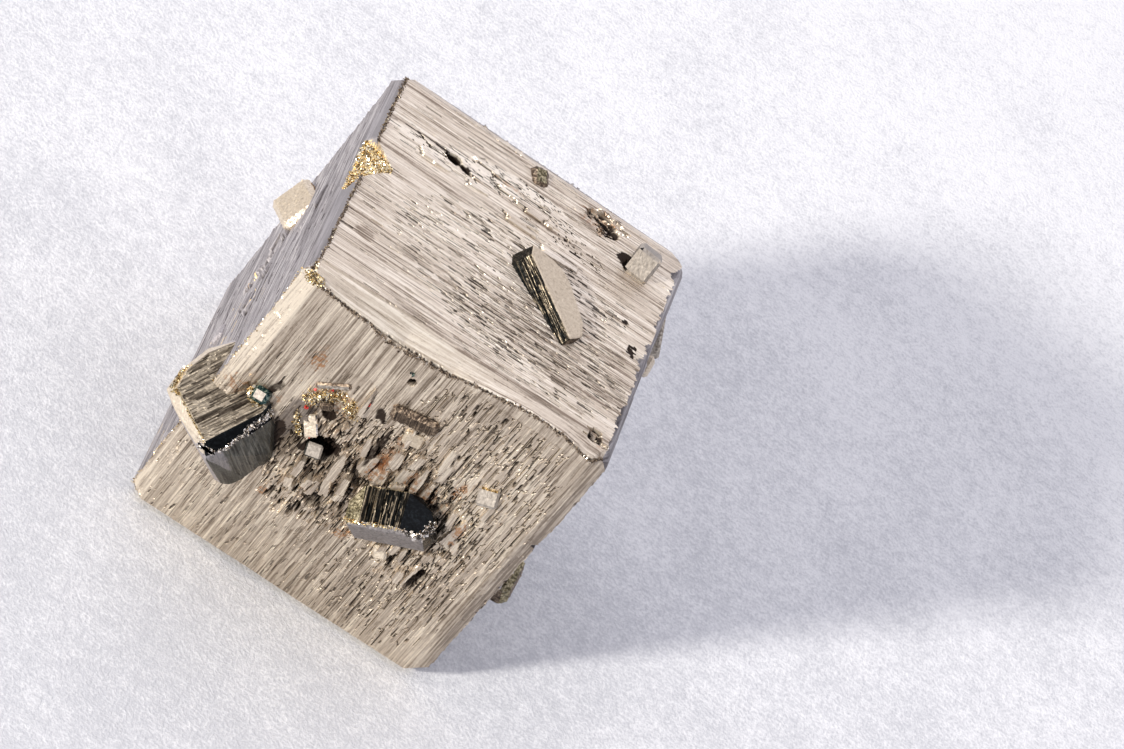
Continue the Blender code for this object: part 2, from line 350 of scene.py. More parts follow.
class Ground:
    """A flat stretch of a face. Rows are counted across its striations, columns along them."""

    def __init__(self, low, high, seed):
        self.dice = random.Random(seed)
        self.seed = seed
        self.low = low
        self.high = high
        self.shape = tuple(int((high[k] - low[k]) / CELL[k]) + 1 for k in (0, 1))
        self.across = low[0] + (np.arange(self.shape[0])[:, None] + 0.5) * CELL[0]
        self.along = low[1] + (np.arange(self.shape[1])[None, :] + 0.5) * CELL[1]
        self.depth = np.zeros(self.shape)
        self.dark, self.tone, self.warm, self.gold = (np.zeros(self.shape) for _ in LAYERS)

    def cells(self, across, along):
        """The cell numbers of these places, kept on the face."""
        i = np.clip(((np.asarray(across) - self.low[0]) / CELL[0]).astype(int), 0, self.shape[0] - 1)
        j = np.clip(((np.asarray(along) - self.low[1]) / CELL[1]).astype(int), 0, self.shape[1] - 1)
        return i, j

    def patch(self, across, along, width, length):
        i0, j0 = self.cells(across - width / 2, along - length / 2)
        i1, j1 = self.cells(across + width / 2, along + length / 2)
        return slice(int(i0), int(i1) + 1), slice(int(j0), int(j1) + 1)

    def darken(self, place, shade):
        """Makes these cells at least this dark."""
        self.dark[place] = np.maximum(self.dark[place], shade)

    def spot(self, regions):
        """A random place in one of the ovals: (across, along, half width, half length, share)."""
        across, along, wide, long, _ = self.dice.choices(regions, [region[4] for region in regions])[0]
        turn = self.dice.uniform(0, 2 * math.pi)
        reach = math.sqrt(self.dice.random())
        return across + wide * reach * math.cos(turn), along + long * reach * math.sin(turn)

    def undulate(self, depth, size, seed=0):
        """Lets the face swell and sink smoothly, in patches of this size in mm."""
        cells = (size[0] / CELL[0], size[1] / CELL[1])
        self.depth += depth * (1 + cloud(self.shape, cells, self.seed + seed))

    def mottle(self, size, seed, **layers):
        """Varies layers smoothly: mottle((3, 9), 1, tone=0.4)."""
        field = cloud(self.shape, (size[0] / CELL[0], size[1] / CELL[1]), self.seed * 7 + seed)
        for name, amount in layers.items():
            getattr(self, name)[:] += amount * field

    def lands(self, width, levels, tone=0.6):
        """Long growth lands that cross the whole face."""
        across = self.low[0]
        while across < self.high[0]:
            step = self.dice.uniform(*width)
            strip, _ = self.patch(across + step / 2, self.low[1], step, 0.0)
            self.depth[strip] += self.dice.choice(levels)
            self.tone[strip] += self.dice.uniform(-tone, tone)
            across += step

print("cells of the relief:", CELL, "mm")

# %% [markdown]
# ## Broken layers, lines and pits
# A layer of pyrite breaks off in slanting plates. Under each the older layer shows, and the gap
# round it is painted dark, for the dirt and iron oxide in it and as painted shade. All are strewn
# at random over ovals of the face.

# %% Broken layers
class Broken(Ground):
    """Ground with broken plates, fine lines and pits strewn over it."""

    def plates(
        self, count, regions, width, length, levels, tone=0.7, rim=0.4, rim_dark=0.6, warm=0.0, jag=2, gap=0.2
    ):
        """Broken layers on what is there: slanted, ragged ends, and some with a dark gap round them."""
        for _ in range(count):
            across, along = self.spot(regions)
            wide, long = self.dice.uniform(*width), self.dice.uniform(*length)
            strip, run = self.patch(across, along, wide, long)
            level = self.depth[strip, run].mean() + self.dice.uniform(*levels)
            shade = self.tone[strip, run].mean() * 0.4 + self.dice.uniform(-tone, tone)
            rimmed = self.dice.random() < rim
            slant = self.dice.uniform(-1.5, 1.5)
            tint = warm * self.dice.random() ** 4
            for i in range(strip.start, strip.stop):
                shift = int(slant * (i - strip.start))
                start = max(run.start + shift + self.dice.randint(-jag, jag), 0)
                stop = max(run.stop + shift + self.dice.randint(-jag, jag), start)
                self.depth[i, start:stop] = level
                self.tone[i, start:stop] = shade
                self.warm[i, start:stop] += tint
                self.dark[i, start:stop] *= 0.25
                # The dark rim is dirt in the gap and painted shade.
                if rimmed:
                    self.dark[i, stop : stop + 2] = rim_dark
                    self.depth[i, stop : stop + 2] = level + gap
            if rimmed:
                beside = slice(strip.stop, strip.stop + self.dice.choice((1, 2, 2)))
                trimmed = slice(run.start + self.dice.randint(0, 6), run.stop + self.dice.randint(-6, 3))
                self.depth[beside, trimmed] = level + self.dice.uniform(0.5, 1.5) * gap
                self.dark[beside, trimmed] = rim_dark * self.dice.uniform(0.5, 1.0)

    def lines(self, count, regions, width, length, tone=0.0, dark=0.0, deep=0.0, gold=0.0):
        """Thin lines along the striations, pale or dark."""
        for _ in range(count):
            across, along = self.spot(regions)
            place = self.patch(across, along, self.dice.uniform(*width), self.dice.uniform(*length))
            share = self.dice.uniform(0.4, 1.0)
            self.tone[place] += tone * share
            self.gold[place] += gold * share
            self.depth[place] += deep * share
            self.darken(place, dark * share)

    def pits(self, count, regions, width, length, deep, dark=0.9):
        """Ragged holes: each a few overlapping patches."""
        for _ in range(count):
            across, along = self.spot(regions)
            wide, long = self.dice.uniform(*width), self.dice.uniform(*length)
            down = self.dice.uniform(*deep)
            shade = dark * self.dice.uniform(0.6, 1.0)
            for _ in range(self.dice.choice((1, 2, 3))):
                u = across + self.dice.uniform(-0.5, 0.5) * wide
                v = along + self.dice.uniform(-0.5, 0.5) * long
                part_wide = wide * self.dice.uniform(0.4, 0.9)
                part_long = long * self.dice.uniform(0.4, 0.9)
                place = self.patch(u, v, part_wide, part_long)
                self.depth[place] = np.maximum(self.depth[place], self.depth[place].mean() + down)
                self.darken(place, shade)


print("broken layers ready")

# %% [markdown]
# ## Marks at set places
# Some marks are not left to dice: bowls where a crystal came away, stains, laths torn out of the
# face, and nicks along its borders, where every real edge is bruised first.

# %% Marks
class Relief(Broken):
    """Broken ground that also takes marks at set places."""

    def oval(self, across, along, wide, long, roll=0.0):
        """1 in the middle of an oval of these half sizes, 0 from its edge outwards."""
        u, v = self.across - across, self.along - along
        cos, sin = math.cos(math.radians(roll)), math.sin(math.radians(roll))
        u, v = (u * cos + v * sin) / wide, (v * cos - u * sin) / long
        return np.clip(1.0 - (u * u + v * v), 0.0, 1.0)

    def hollow(self, across, along, wide, long, deep, roll=0.0, dark=0.0):
        """A bowl of these full sizes with a ragged edge."""
        edge = cloud(self.shape, (7, 6), self.seed + int(across * 13 + along * 29) % 991) * 0.5
        oval = self.oval(across, along, wide / 2, long / 2, roll)
        bowl = np.clip(oval * 2.2 + edge * (oval > 0), 0.0, 1.0)
        self.depth += deep * bowl
        # Painted shade: the bowl is darker the deeper it is.
        self.dark = np.maximum(self.dark, dark * bowl)

    def stain_and_shade(self, across, along, wide, long, roll, ragged, *amounts):
        """Adds these amounts to the LAYERS, in their order, over an oval of these half sizes: stains, and
        painted shade and shadows where a dark amount stands for one.
        """
        edge = cloud(self.shape, (6, 8), self.seed + int(across * 31 + along * 17) % 997) * ragged
        oval = self.oval(across, along, wide, long, roll)
        soft = np.clip(oval * 1.8 + edge, 0.0, 1.0) * (oval > 0)
        for layer, amount in zip(LAYERS, amounts):
            getattr(self, layer)[:] += amount * soft

    def each(self, method, rows):
        """Calls one method, such as "stain", for each row of a table."""
        for row in rows:
            getattr(self, method)(*row)

    def block(self, across, along, wide, long, rise, tip=0.0):
        """A torn lath that lifts out of the face towards its lower, ragged end."""
        u, v = self.across - across, self.along - along
        cos, sin = math.cos(math.radians(tip)), math.sin(math.radians(tip))
        u, v = u * cos + v * sin, v * cos - u * sin
        slant = self.dice.uniform(-0.8, 0.8)
        teeth = cloud(self.shape, (4, 40), self.seed + int(across * 17 + along * 5) % 983) * 0.35
        end = v + slant * u + teeth
        inside = (np.abs(u) < wide / 2 - 0.12 * np.maximum(end, 0)) & (end > -long / 2) & (v < long / 2)
        below = (np.abs(u) < wide / 2 + 0.1) & (end <= -long / 2) & (end > -long / 2 - 0.35)
        beside = (u >= wide / 2) & (u < wide / 2 + 0.18) & (np.abs(v) < long / 2)
        lift = np.clip(0.75 - v / long, 0.15, 1.0)
        self.depth[inside] = (-rise * lift + 0.1 * u)[inside] + self.dice.uniform(-0.04, 0.04)
        self.tone[inside] = self.dice.uniform(-0.1, 0.7)
        self.dark[inside] *= 0.15
        # Painted shade: the strips below and beside the lifted lath are darkened.
        for around, shade in ((below, 1.0), (beside, 0.8)):
            self.darken(around, shade * self.dice.uniform(0.6, 1.0))
            self.depth[around] = np.maximum(self.depth[around], 0.15)

    def chips(self, count, side, width, length, deep, dark=0.7, span=None):
        """Nicks along one border: side is "low", "high" (rows), "start" or "end" (columns)."""
        k = 0 if side in ("start", "end") else 1
        low, high = span or (self.low[k], self.high[k])
        for _ in range(count):
            at = self.dice.uniform(low, high)
            wide, long = self.dice.uniform(*width), self.dice.uniform(*length)
            if side in ("low", "high"):
                across = self.low[0] if side == "low" else self.high[0]
                place = self.patch(across, at, wide * 2, long)
            else:
                along = self.low[1] if side == "start" else self.high[1]
                place = self.patch(at, along, long, wide * 2)
            self.depth[place] += self.dice.uniform(*deep)
            self.darken(place, dark * self.dice.uniform(0.2, 1.0))
            self.tone[place] += self.dice.uniform(-0.3, 0.6)

    def calm(self, across, along, wide, long, share):
        """Keeps only part of the relief and dirt inside an oval, as on an unbroken stretch."""
        keep = 1 - (1 - share) * np.minimum(self.oval(across, along, wide, long) * 3, 1.0)
        for name in ("depth", "dark"):
            getattr(self, name)[:] *= keep

    def layers_at(self, across, along):
        i, j = self.cells(across, along)
        return {name: getattr(self, name)[i, j] for name in LAYERS}


class FaceRelief(Relief):
    """The relief of one face of the cube, with its sloping bands."""

    def __init__(self, name, seed):
        axis, _ = FACES[name]
        k, m = across_axis(axis), along_axis(axis)
        super().__init__((LOW[k], LOW[m]), (HIGH[k], HIGH[m]), seed)

    def depth_at(self, across, along):
        i, j = self.cells(across, along)
        edge = np.minimum(across - self.low[0], self.high[0] - across)
        return self.depth[i, j] + BAND_SLOPE * np.clip(BAND - edge, 0.0, BAND + 1.0)


print("relief painter ready")

# %% [markdown]
# ## Splinters shared with the solid
# Where a face is broken, splinters of its layers stand up. The solid has them at places drawn
# by dice; the same dice in the same order find them again, so that both agree.

# %% Shared forms
SPLINTER_WIDTH = (0.7, 1.6)
SPLINTER_RUN = (2.2, 5.6)
SPLINTER_RISE = (0.25, 0.7)
SPLINTER_SHARE = {"front": 0.8, "top": 0.25, "left": 0.6}


def add_splinters(reliefs):
    """The solid's splinters, drawn with the same dice in the same order."""
    dice = random.Random(5)
    fields = [
        ("front", 26, lambda: (dice.triangular(-10, 16, 4), dice.triangular(13, 43, 24)), 1),
        ("top", 16, lambda: (dice.uniform(-15, 9), dice.triangular(6, 17, 12)), -1),
        ("left", 8, lambda: (dice.uniform(-14, 12), dice.uniform(10, 44)), -1),
    ]
    for name, count, spot, order in fields:
        for _ in range(count):
            width, run, rise = (dice.uniform(*span) for span in (SPLINTER_WIDTH, SPLINTER_RUN, SPLINTER_RISE))
            tip = dice.uniform(-7, 7)
            across, along = spot()[::order]
            reliefs[name].block(across, along, width, run, rise * SPLINTER_SHARE[name], tip)


print("splinters:", SPLINTER_SHARE)

# %% [markdown]
# ## The hidden faces
# The back, the right side and the underside get the same growth layers as the rest.

# %% Hidden faces
def plain_relief(name, seed):
    relief = FaceRelief(name, seed)
    relief.undulate(0.12, (6, 16))
    relief.lands((0.4, 1.6), (0.0, 0.0, 0.06, 0.12, 0.2))
    middle = [(relief.low[k] + relief.high[k]) / 2 for k in (0, 1)]
    whole = [(*middle, 25, 27, 1.0)]
    relief.mottle((3, 10), 1, tone=0.5, warm=0.15)
    relief.plates(500, whole, (0.3, 1.2), (2.0, 14.0), (-0.06, 0.1))
    relief.lines(900, whole, (0.0, 0.1), (1.5, 8.0), tone=-0.7, dark=0.5)
    relief.lines(500, whole, (0.0, 0.1), (1.5, 8.0), tone=0.9)
    relief.pits(300, whole, (0.16, 0.5), (0.5, 2.4), (0.1, 0.4))
    for side in ("low", "high", "start", "end"):
        relief.chips(90, side, (0.1, 0.5), (0.3, 1.2), (0.05, 0.3))
    return relief


def bottom_relief():
    """The resting face: three level lands between two shallow grooves."""
    relief = FaceRelief("bottom", 9)
    for across in (-6.35, 6.35):
        strip, _ = relief.patch(across, 0.0, 1.0, 1.0)
        relief.depth[strip] = 0.3
        relief.dark[strip] = 0.3
    relief.mottle((3, 10), 1, tone=0.5, warm=0.15)
    whole = [(0, 0, 22, 23, 1.0)]
    relief.lines(900, whole, (0.0, 0.1), (1.5, 8.0), tone=-0.7, dark=0.4)
    relief.pits(200, [(0, 0, 20, 22, 1.0)], (0.16, 0.3), (0.6, 3.0), (0.05, 0.2))
    return relief


print("hidden faces ready")

# %% [markdown]
# ## The front
# It is smooth near its upper edge, laid in pale laths at the lower left, and broken to the
# core round the dark crystal. To the right the layers end in scales with dark outlines.

# %% Front
def front_relief():
    relief = FaceRelief("front", 3)
    whole = [(0, 26, 25, 28, 1.0)]
    laths = [(-14, 9, 10, 10, 1.0), (-2, 5, 10, 6, 0.4)]
    core = [(2, 26, 11, 10, 1.0), (-5, 22, 7, 9, 0.7), (12, 22, 6, 9, 0.5)]
    scales = [(14, 30, 8, 20, 1.0), (8, 41, 9, 9, 0.4), (12, 10, 9, 9, 0.4)]
    relief.undulate(0.14, (5, 13))
    relief.lands((0.2, 0.7), (0.0, 0.01, 0.02), tone=0.35)
    relief.mottle((2.5, 8), 1, tone=0.2)
    relief.lines(2600, whole, (0.0, 0.1), (5.0, 22.0), tone=0.4)
    relief.lines(2600, whole, (0.0, 0.1), (4.0, 18.0), tone=-0.5)
    relief.plates(420, laths, (0.15, 0.4), (1.4, 6.5), (-0.03, 0.04), 0.2, rim=0.6, gap=0.03)
    relief.hollow(3.5, 24.5, 20.0, 17.0, 0.55)
    relief.hollow(-9.0, 22.5, 9.0, 12.0, 0.6)
    relief.plates(760, scales, (0.2, 0.6), (0.9, 5.0), (-0.05, 0.06), 0.25, 0.6, 1.0, gap=0.12)
    relief.plates(1500, core, (0.15, 0.55), (0.6, 3.4), (-0.12, 0.14), 0.35, 0.6, 1.25, 0.2, jag=3)
    relief.pits(200, core, (0.12, 0.45), (0.3, 1.3), (0.25, 0.7), dark=1.0)
    relief.pits(80, scales, (0.1, 0.35), (0.3, 1.2), (0.15, 0.4), dark=1.0)
    relief.pits(60, laths, (0.1, 0.3), (0.3, 1.0), (0.03, 0.08))
    relief.lines(1700, whole, (0.0, 0.06), (0.3, 2.0), dark=1.0, deep=0.01)
    relief.lines(500, core + scales, (0.0, 0.1), (0.6, 3.6), dark=1.0, deep=0.15)
    relief.lines(500, core + scales, (0.0, 0.1), (0.6, 3.0), tone=0.8, deep=-0.04)
    relief.calm(-13, 46, 12, 7, 0.35)
    relief.calm(0, 51.8, 80, 3.2, 0.12)
    relief.calm(-22.8, 40, 2.0, 16, 0.15)
    relief.calm(23.5, 26, 2.6, 28, 0.2)
    return relief


print("front's layers ready")

# %% [markdown]
# ## The front's own marks
# Tables of the places that anyone who knows this stone would look for: the pits at the left of
# the core, the laths torn out round the dark crystal, and the rust that has run from the gaps.

# %% Front marks
# Across, along, width, length, rise, tip in degrees.
BROKEN_BLOCKS = [
    (-3.4, 21.4, 1.3, 2.4, 0.5, 18),
    (-5.6, 20.0, 1.0, 2.0, 0.45, -12),
    (-7.6, 18.4, 1.4, 1.8, 0.5, 25),
    (-1.6, 23.2, 1.2, 3.0, 0.6, 8),
    (-1.0, 28.8, 1.8, 3.6, 0.5, -10),
    (1.6, 31.8, 1.6, 3.2, 0.45, 5),
    (4.0, 33.4, 1.2, 2.6, 0.4, -8),
    (-2.6, 31.0, 1.0, 3.4, 0.35, 14),
    (9.2, 18.6, 1.0, 2.2, 0.35, -14),
    (13.4, 20.4, 1.6, 1.4, 0.4, 20),
    (12.0, 14.8, 1.2, 2.6, 0.35, 0),
    (15.2, 24.6, 1.1, 2.0, 0.35, 10),
]


# Across, along, width, length, depth, roll, dark.
FRONT_HOLLOWS = [
    (-9.0, 32.1, 6.4, 6.8, 1.1, 0, 0.25),
    (-9.1, 31.2, 2.0, 1.7, 1.1, 0, 1.5),
    (-6.9, 25.9, 4.4, 5.0, 1.9, 0, 1.6),
    (-3.5, 44.5, 1.1, 1.3, 1.2, 0, 1.5),
    (5.0, 22.6, 12.0, 7.0, 1.2, -28, 0.0),
    (14.0, 16.0, 1.5, 5.0, 1.1, -12, 0.9),
    (-3.5, 17.6, 2.6, 2.8, 0.8, 0, 0.85),
    (-1.4, 25.2, 1.2, 5.0, 0.8, 20, 0.9),
    (9.6, 27.8, 1.1, 4.4, 0.6, -25, 0.8),
]
# Across, along, half width, half length, roll, raggedness; then dark, tone, warm and gold.
FRONT_SHADES = [
    # Painted shade: darker front to the right of the corner crystal, in its shadow.
    (-13.0, 23.0, 3.6, 6.0, 0, 0.9, 0.2, -0.6),
    # Painted shade in the corner crystal's shadow, with lavender tarnish.
    (-12.3, 28.2, 2.2, 5.4, 0, 0.8, 0.25, -0.8, -0.4),
    (1.2, 29.3, 1.8, 1.4, 0, 0.5, 0, 0, 0.6),
    (11.0, 28.6, 1.6, 1.4, 0, 0.5, 0, 0, 0.5),
    (17.5, 33.0, 0.8, 2.0, 0, 0.5, 0, 0, 0.4),
    (-17.0, 29.5, 2.4, 1.2, 0, 0.5, 0.2, 0, 0.6),
    (-22.8, 3.5, 1.6, 5.0, 0, 0.5, 0, 0.6),
    (-22.9, 40.0, 2.2, 17.0, 0, 0.1, 0, 1.3),
    (-10.0, 44.0, 11.0, 8.0, 0, 0.2, 0, -0.3),
    (-14.0, 8.0, 12.0, 12.0, 0, 0.2, 0, 0.2),
    (-13.0, 42.0, 9.0, 12.0, 0, 0.2, 0, 0.1),
    (23.3, 26.0, 1.8, 28.0, 0, 0.2, 0, -0.45, -0.25),
]
FRONT_MARKS = [
    # Painted shade: the grey zone in the corner crystal's shadow.
    (-12.4, 25.6, 2.6, 6.2, 0, 0.8, 0, -1.3),
    # Painted shadow: the black strip right beside the corner crystal.
    (-13.4, 22.6, 1.4, 4.2, 0, 0.9, 2.4),
    (-16.9, 31.0, 0.7, 1.8, -20, 1.3, 0.9),
    (-6.3, 26.6, 1.5, 2.2, 0, 0.6, 1.4),
    (-9.0, 24.6, 0.8, 1.2, 0, 0.9, 1.2),
    (-9.0, 31.0, 1.1, 0.9, 0, 0.9, 1.5),
    (-15.0, 39.4, 1.8, 3.0, 0, 1.8, 0, 0, 0.5),
    (-21.4, 27.8, 2.2, 1.6, 0, 1.2, 0, -0.3, 0.8),
    # Painted shadow at the left end of the lath inclusion.
    (-3.9, 36.7, 0.9, 1.5, 35, 1.5, 1.1, 0, 0.2),
    (-9.6, 34.0, 3.6, 3.0, -30, 1.2, 0.25, 0.2, 0.9, 0.35),
    (0.2, 31.4, 1.0, 7.0, -4, 1.4, 0, 0, 0.7),
    # Painted shadow: a long dark wedge; the row before it is rust along its edge.
    (-1.4, 31.6, 0.7, 4.4, 0, 1.2, 1.0),
    (0.6, 28.6, 1.4, 2.6, 0, 1.2, 0, -0.2, 1.1),
    (5.2, 30.4, 1.2, 1.6, 0, 1.2, 0, -0.2, 1.1),
    (8.0, 29.4, 1.4, 2.0, 0, 1.2, 0, -0.2, 1.1),
    (10.8, 33.0, 0.9, 2.2, 0, 1.2, 0, -0.2, 1.1),
    (-9.6, 14.5, 0.8, 0.8, 0, 1.2, 0, -0.2, 1.1),
    (-14.6, 38.6, 1.0, 1.8, 0, 1.2, 0, -0.2, 1.1),
    (14.4, 27.0, 0.9, 2.4, 0, 1.2, 0, -0.2, 1.1),
    (2.4, 15.6, 1.2, 1.0, 0, 1.2, 0, -0.2, 1.1),
    (-17.4, 16.0, 0.6, 1.6, 0, 1.2, 0, -0.2, 1.1),
    (3.0, 30.5, 2.6, 4.0, 0, 0.4, 0, 0.6),
    (14.5, 34.0, 8.0, 13.0, 0, 0.2, 0, 0.5),
]


def finish_front(relief):
    """The marked places of the front: shades lie under the torn blocks, marks over them."""
    relief.each("hollow", FRONT_HOLLOWS)
    relief.each("stain_and_shade", FRONT_SHADES)
    relief.each("block", BROKEN_BLOCKS)
    relief.lines(160, [(-12.4, 25.6, 2.4, 5.8, 1.0)], (0.0, 0.1), (0.5, 3.0), dark=0.8)
    relief.each("stain_and_shade", FRONT_MARKS)
    relief.chips(320, "end", (0.04, 0.2), (0.1, 0.4), (0.0, 0.05), dark=1.2)
    relief.chips(90, "end", (0.05, 0.35), (0.15, 0.6), (0.0, 0.05), dark=1.4, span=(-4, 12))
    relief.chips(70, "low", (0.1, 0.4), (0.3, 1.4), (0.05, 0.25), dark=0.4)
    relief.chips(120, "high", (0.1, 0.4), (0.2, 0.9), (0.05, 0.25), dark=0.9)


print("front ready")

# %% [markdown]
# ## The top
# Long cream plates with brown dashes between them, a rough belt towards the back, and along
# the front ridge a smooth band that sags in its left half.

# %% Top
# Along the ridge, and how far it stands up there.
RIDGE_RISE = [(-24, -0.2), (-17, -1.1), (-7.6, -1.9), (0, -1.1), (5, -0.1), (11, 0.9), (16, 0.9), (20, 0)]
RIDGE_REACH = 2.8


def top_relief():
    relief = FaceRelief("top", 4)
    whole = [(0, 0, 25, 26, 1.0)]
    middle = [(-4, 2, 12, 18, 1.0), (-12, 8, 8, 14, 0.5)]
    relief.undulate(0.1, (5, 22))
    relief.lands((0.12, 0.5), (0.0, 0.01, 0.02), tone=0.3)
    relief.mottle((2.5, 22), 1, tone=0.2)
    relief.mottle((1.1, 34), 3, tone=0.5)
    relief.mottle((0.5, 30), 5, tone=0.3)
    relief.lines(2400, whole, (0.0, 0.08), (4.0, 30.0), tone=0.4)
    relief.lines(2400, whole, (0.0, 0.08), (4.0, 24.0), tone=-0.45)
    relief.plates(260, whole, (0.12, 0.35), (3.0, 14.0), (-0.02, 0.03), 0.2, 0.7, 0.4, gap=0.04)
    relief.lines(1500, whole, (0.0, 0.06), (0.6, 3.0), dark=0.8, deep=0.03)
    relief.stain_and_shade(-9.0, 13.0, 9.0, 12.0, 0, 0.2, 0, -0.5)
    relief.stain_and_shade(4.0, -14.0, 12.0, 12.0, 0, 0.2, 0, 0.4)
    relief.lines(1600, middle, (0.0, 0.06), (0.3, 2.4), dark=1.1, deep=0.04)
    relief.lines(900, middle, (0.0, 0.08), (0.8, 4.0), tone=1.0, deep=-0.02)
    relief.pits(160, middle, (0.08, 0.24), (0.3, 0.8), (0.04, 0.1), dark=1.0)
    return relief


print("top's layers ready")

# %% [markdown]
# ## The top's own marks
# The belt is a strip of flat cream flakes in two rows, with a dark hole near its left end and
# brown pits behind it. The front ridge sags in its left half and stands up in its right half.

# %% Top marks
BELT = [
    (11.4, -17, 0.9, 5, 0.6),
    (12.0, -9, 1.8, 6, 1.0),
    (14.6, -3, 1.2, 6, 1.0),
    (12.4, 2, 1.2, 6, 0.7),
    (9.5, 5, 1.4, 7, 0.4),
]
SCRAPS = [(18.0, 10.0, 2.2, 3.2, 1.0), (-20.6, 20.2, 1.4, 1.6, 0.6)]
PINHOLES = [(-1.4, 20.0), (-0.8, 20.9), (2.8, 18.0), (-2.0, 20.4)]
# The columns of these three tables are those of the front's.
TOP_HOLLOWS = [
    (11.8, -12.2, 1.9, 2.8, 1.3, 0, 3.0),
    (11.2, -10.4, 1.0, 2.6, 0.6, 25, 2.6),
    (10.8, -9.6, 0.4, 1.6, 0.4, 20, 1.3),
    (18.4, 9.6, 2.6, 5.0, 0.8, 0, 1.2),
    (17.2, 11.4, 2.4, 3.4, 0.7, 0, 1.7),
    (13.4, 15.6, 2.4, 1.6, 0.4, 0, 0.8),
    (-20.6, 20.2, 2.8, 2.4, 0.7, 0, 1.7),
]
TOP_SHADES = [
    (11.2, -17.0, 1.0, 7.0, 0, 0.3, 0, 1.5),
    (12.4, -8.0, 1.7, 7.0, 0, 0.6, 0, 1.6),
    (14.8, -2.0, 1.3, 8.0, 0, 0.6, 0, 1.6),
    (12.6, 5.0, 0.9, 8.0, 0, 0.7, 0, 0.7),
    (13.6, -4.0, 0.5, 4.0, 0, 0.8, 0, -0.5, 0.7),
    (-11.4, -18.9, 1.4, 1.6, 0, 0.5, 0, -0.9),
    # Painted shadow: the dark patch at the edge block's left foot.
    (14.2, 15.0, 1.3, 1.5, 0, 0.7, 2.6),
    (-8.0, 14.0, 1.0, 10.0, 0, 0.6, 0, 0.5),
    (-3.0, 13.0, 0.9, 3.4, 30, 0.5, 0, 0, 0.45),
    (-0.5, 3.4, 0.8, 1.6, 0, 0.5, 0, 0, 0.45),
    (17.6, 9.6, 2.6, 4.0, 0, 1.2, 0.2, -0.5, 0.6),
    (5.6, 17.0, 0.5, 7.0, 0, 0.5, 0, 0.9),
    (3.4, 8.0, 0.5, 14.0, 0, 0.6, 0, 0.7),
]
TOP_MARKS = [
    (-20.0, 19.5, 2.8, 4.0, 0, 1.2, 0.3, -0.1),
    (0.0, -23.6, 23.0, 0.7, 0, 1.2, 0.4, -0.4, 0.3),
    # Painted highlight: the smooth band along the front ridge is lightened.
    (-21.9, -3.0, 1.3, 24.0, 0, 0.3, 0, 0.5),
    (22.9, 0.0, 0.9, 25.0, 0, 0.1, 0, -0.4, -1.0),
]


def finish_top(relief):
    """The marked places of the top: the belt's flakes first, the worn edges and the ridge last."""
    relief.plates(120, BELT, (0.35, 0.9), (1.0, 3.4), (-0.02, 0.02), 0.15, 0.85, 1.3, gap=0.015)
    relief.lines(60, BELT, (0.0, 0.1), (0.4, 2.4), dark=1.5, deep=0.02)
    relief.pits(16, BELT, (0.1, 0.3), (0.2, 0.7), (0.02, 0.06), dark=1.6)
    relief.each("hollow", TOP_HOLLOWS)
    relief.each("stain_and_shade", TOP_SHADES)
    relief.plates(50, SCRAPS, (0.2, 0.7), (0.3, 1.2), (-0.25, 0.2), 0.5, 0.7, 1.0, 0.5)
    for across, along in PINHOLES:
        relief.pits(4, [(across, along, 0.6, 0.5, 1.0)], (0.3, 0.7), (0.3, 0.7), (0.01, 0.02), dark=2.0)
    relief.each("stain_and_shade", TOP_MARKS)
    relief.lines(120, [(-21.6, 0.0, 1.4, 24.0, 1.0)], (0.0, 0.06), (1.0, 6.0), dark=0.5)
    relief.calm(-21.9, 0.0, 1.5, 34.0, 0.05)
    relief.calm(0.0, -23.6, 30.0, 1.2, 0.2)
    relief.darken(relief.patch(-20.5, 0.0, 0.1, 46.0), 0.45)
    relief.chips(420, "low", (0.04, 0.16), (0.1, 0.4), (0.02, 0.08), dark=1.2)
    relief.chips(90, "low", (0.06, 0.25), (0.1, 0.4), (0.05, 0.12), dark=1.2, span=(-12, 0))
    relief.chips(260, "start", (0.04, 0.16), (0.1, 0.3), (0.0, 0.05), dark=1.0)
    relief.chips(60, "high", (0.1, 0.3), (0.3, 1.0), (0.05, 0.2), dark=0.4)
    relief.chips(70, "end", (0.1, 0.3), (0.3, 1.0), (0.05, 0.2), dark=0.6)
    sites, rises = zip(*RIDGE_RISE)
    fade = np.clip(1 - (relief.across - relief.low[0]) / RIDGE_REACH, 0, 1)
    relief.depth -= np.interp(relief.along, sites, rises) * fade


print("top ready")

# %% [markdown]
# ## The left side
# It sees little of the light, so its tarnish looks lavender. Long open pits follow its layers.

# %% Left side
def left_relief():
    relief = FaceRelief("left", 6)
    whole = [(26, 0, 28, 25, 1.0)]
    low = [(16, -8, 16, 14, 1.0)]
    relief.undulate(0.2, (6, 18))
    relief.lands((0.3, 1.2), (0.0, 0.03, 0.07), tone=0.3)
    relief.mottle((2, 10), 1, tone=0.3)
    relief.plates(320, whole, (0.2, 0.7), (2.0, 10.0), (-0.05, 0.06), 0.3, 0.6, 0.8, gap=0.1)
    relief.lines(1400, whole, (0.0, 0.12), (2.0, 12.0), tone=0.4)
    relief.lines(1400, whole, (0.0, 0.12), (2.0, 12.0), tone=-0.6, dark=0.3)
    relief.lines(70, low, (0.0, 0.14), (1.0, 5.0), gold=0.9)
    relief.pits(260, whole, (0.12, 0.4), (0.5, 3.0), (0.1, 0.4))
    return relief


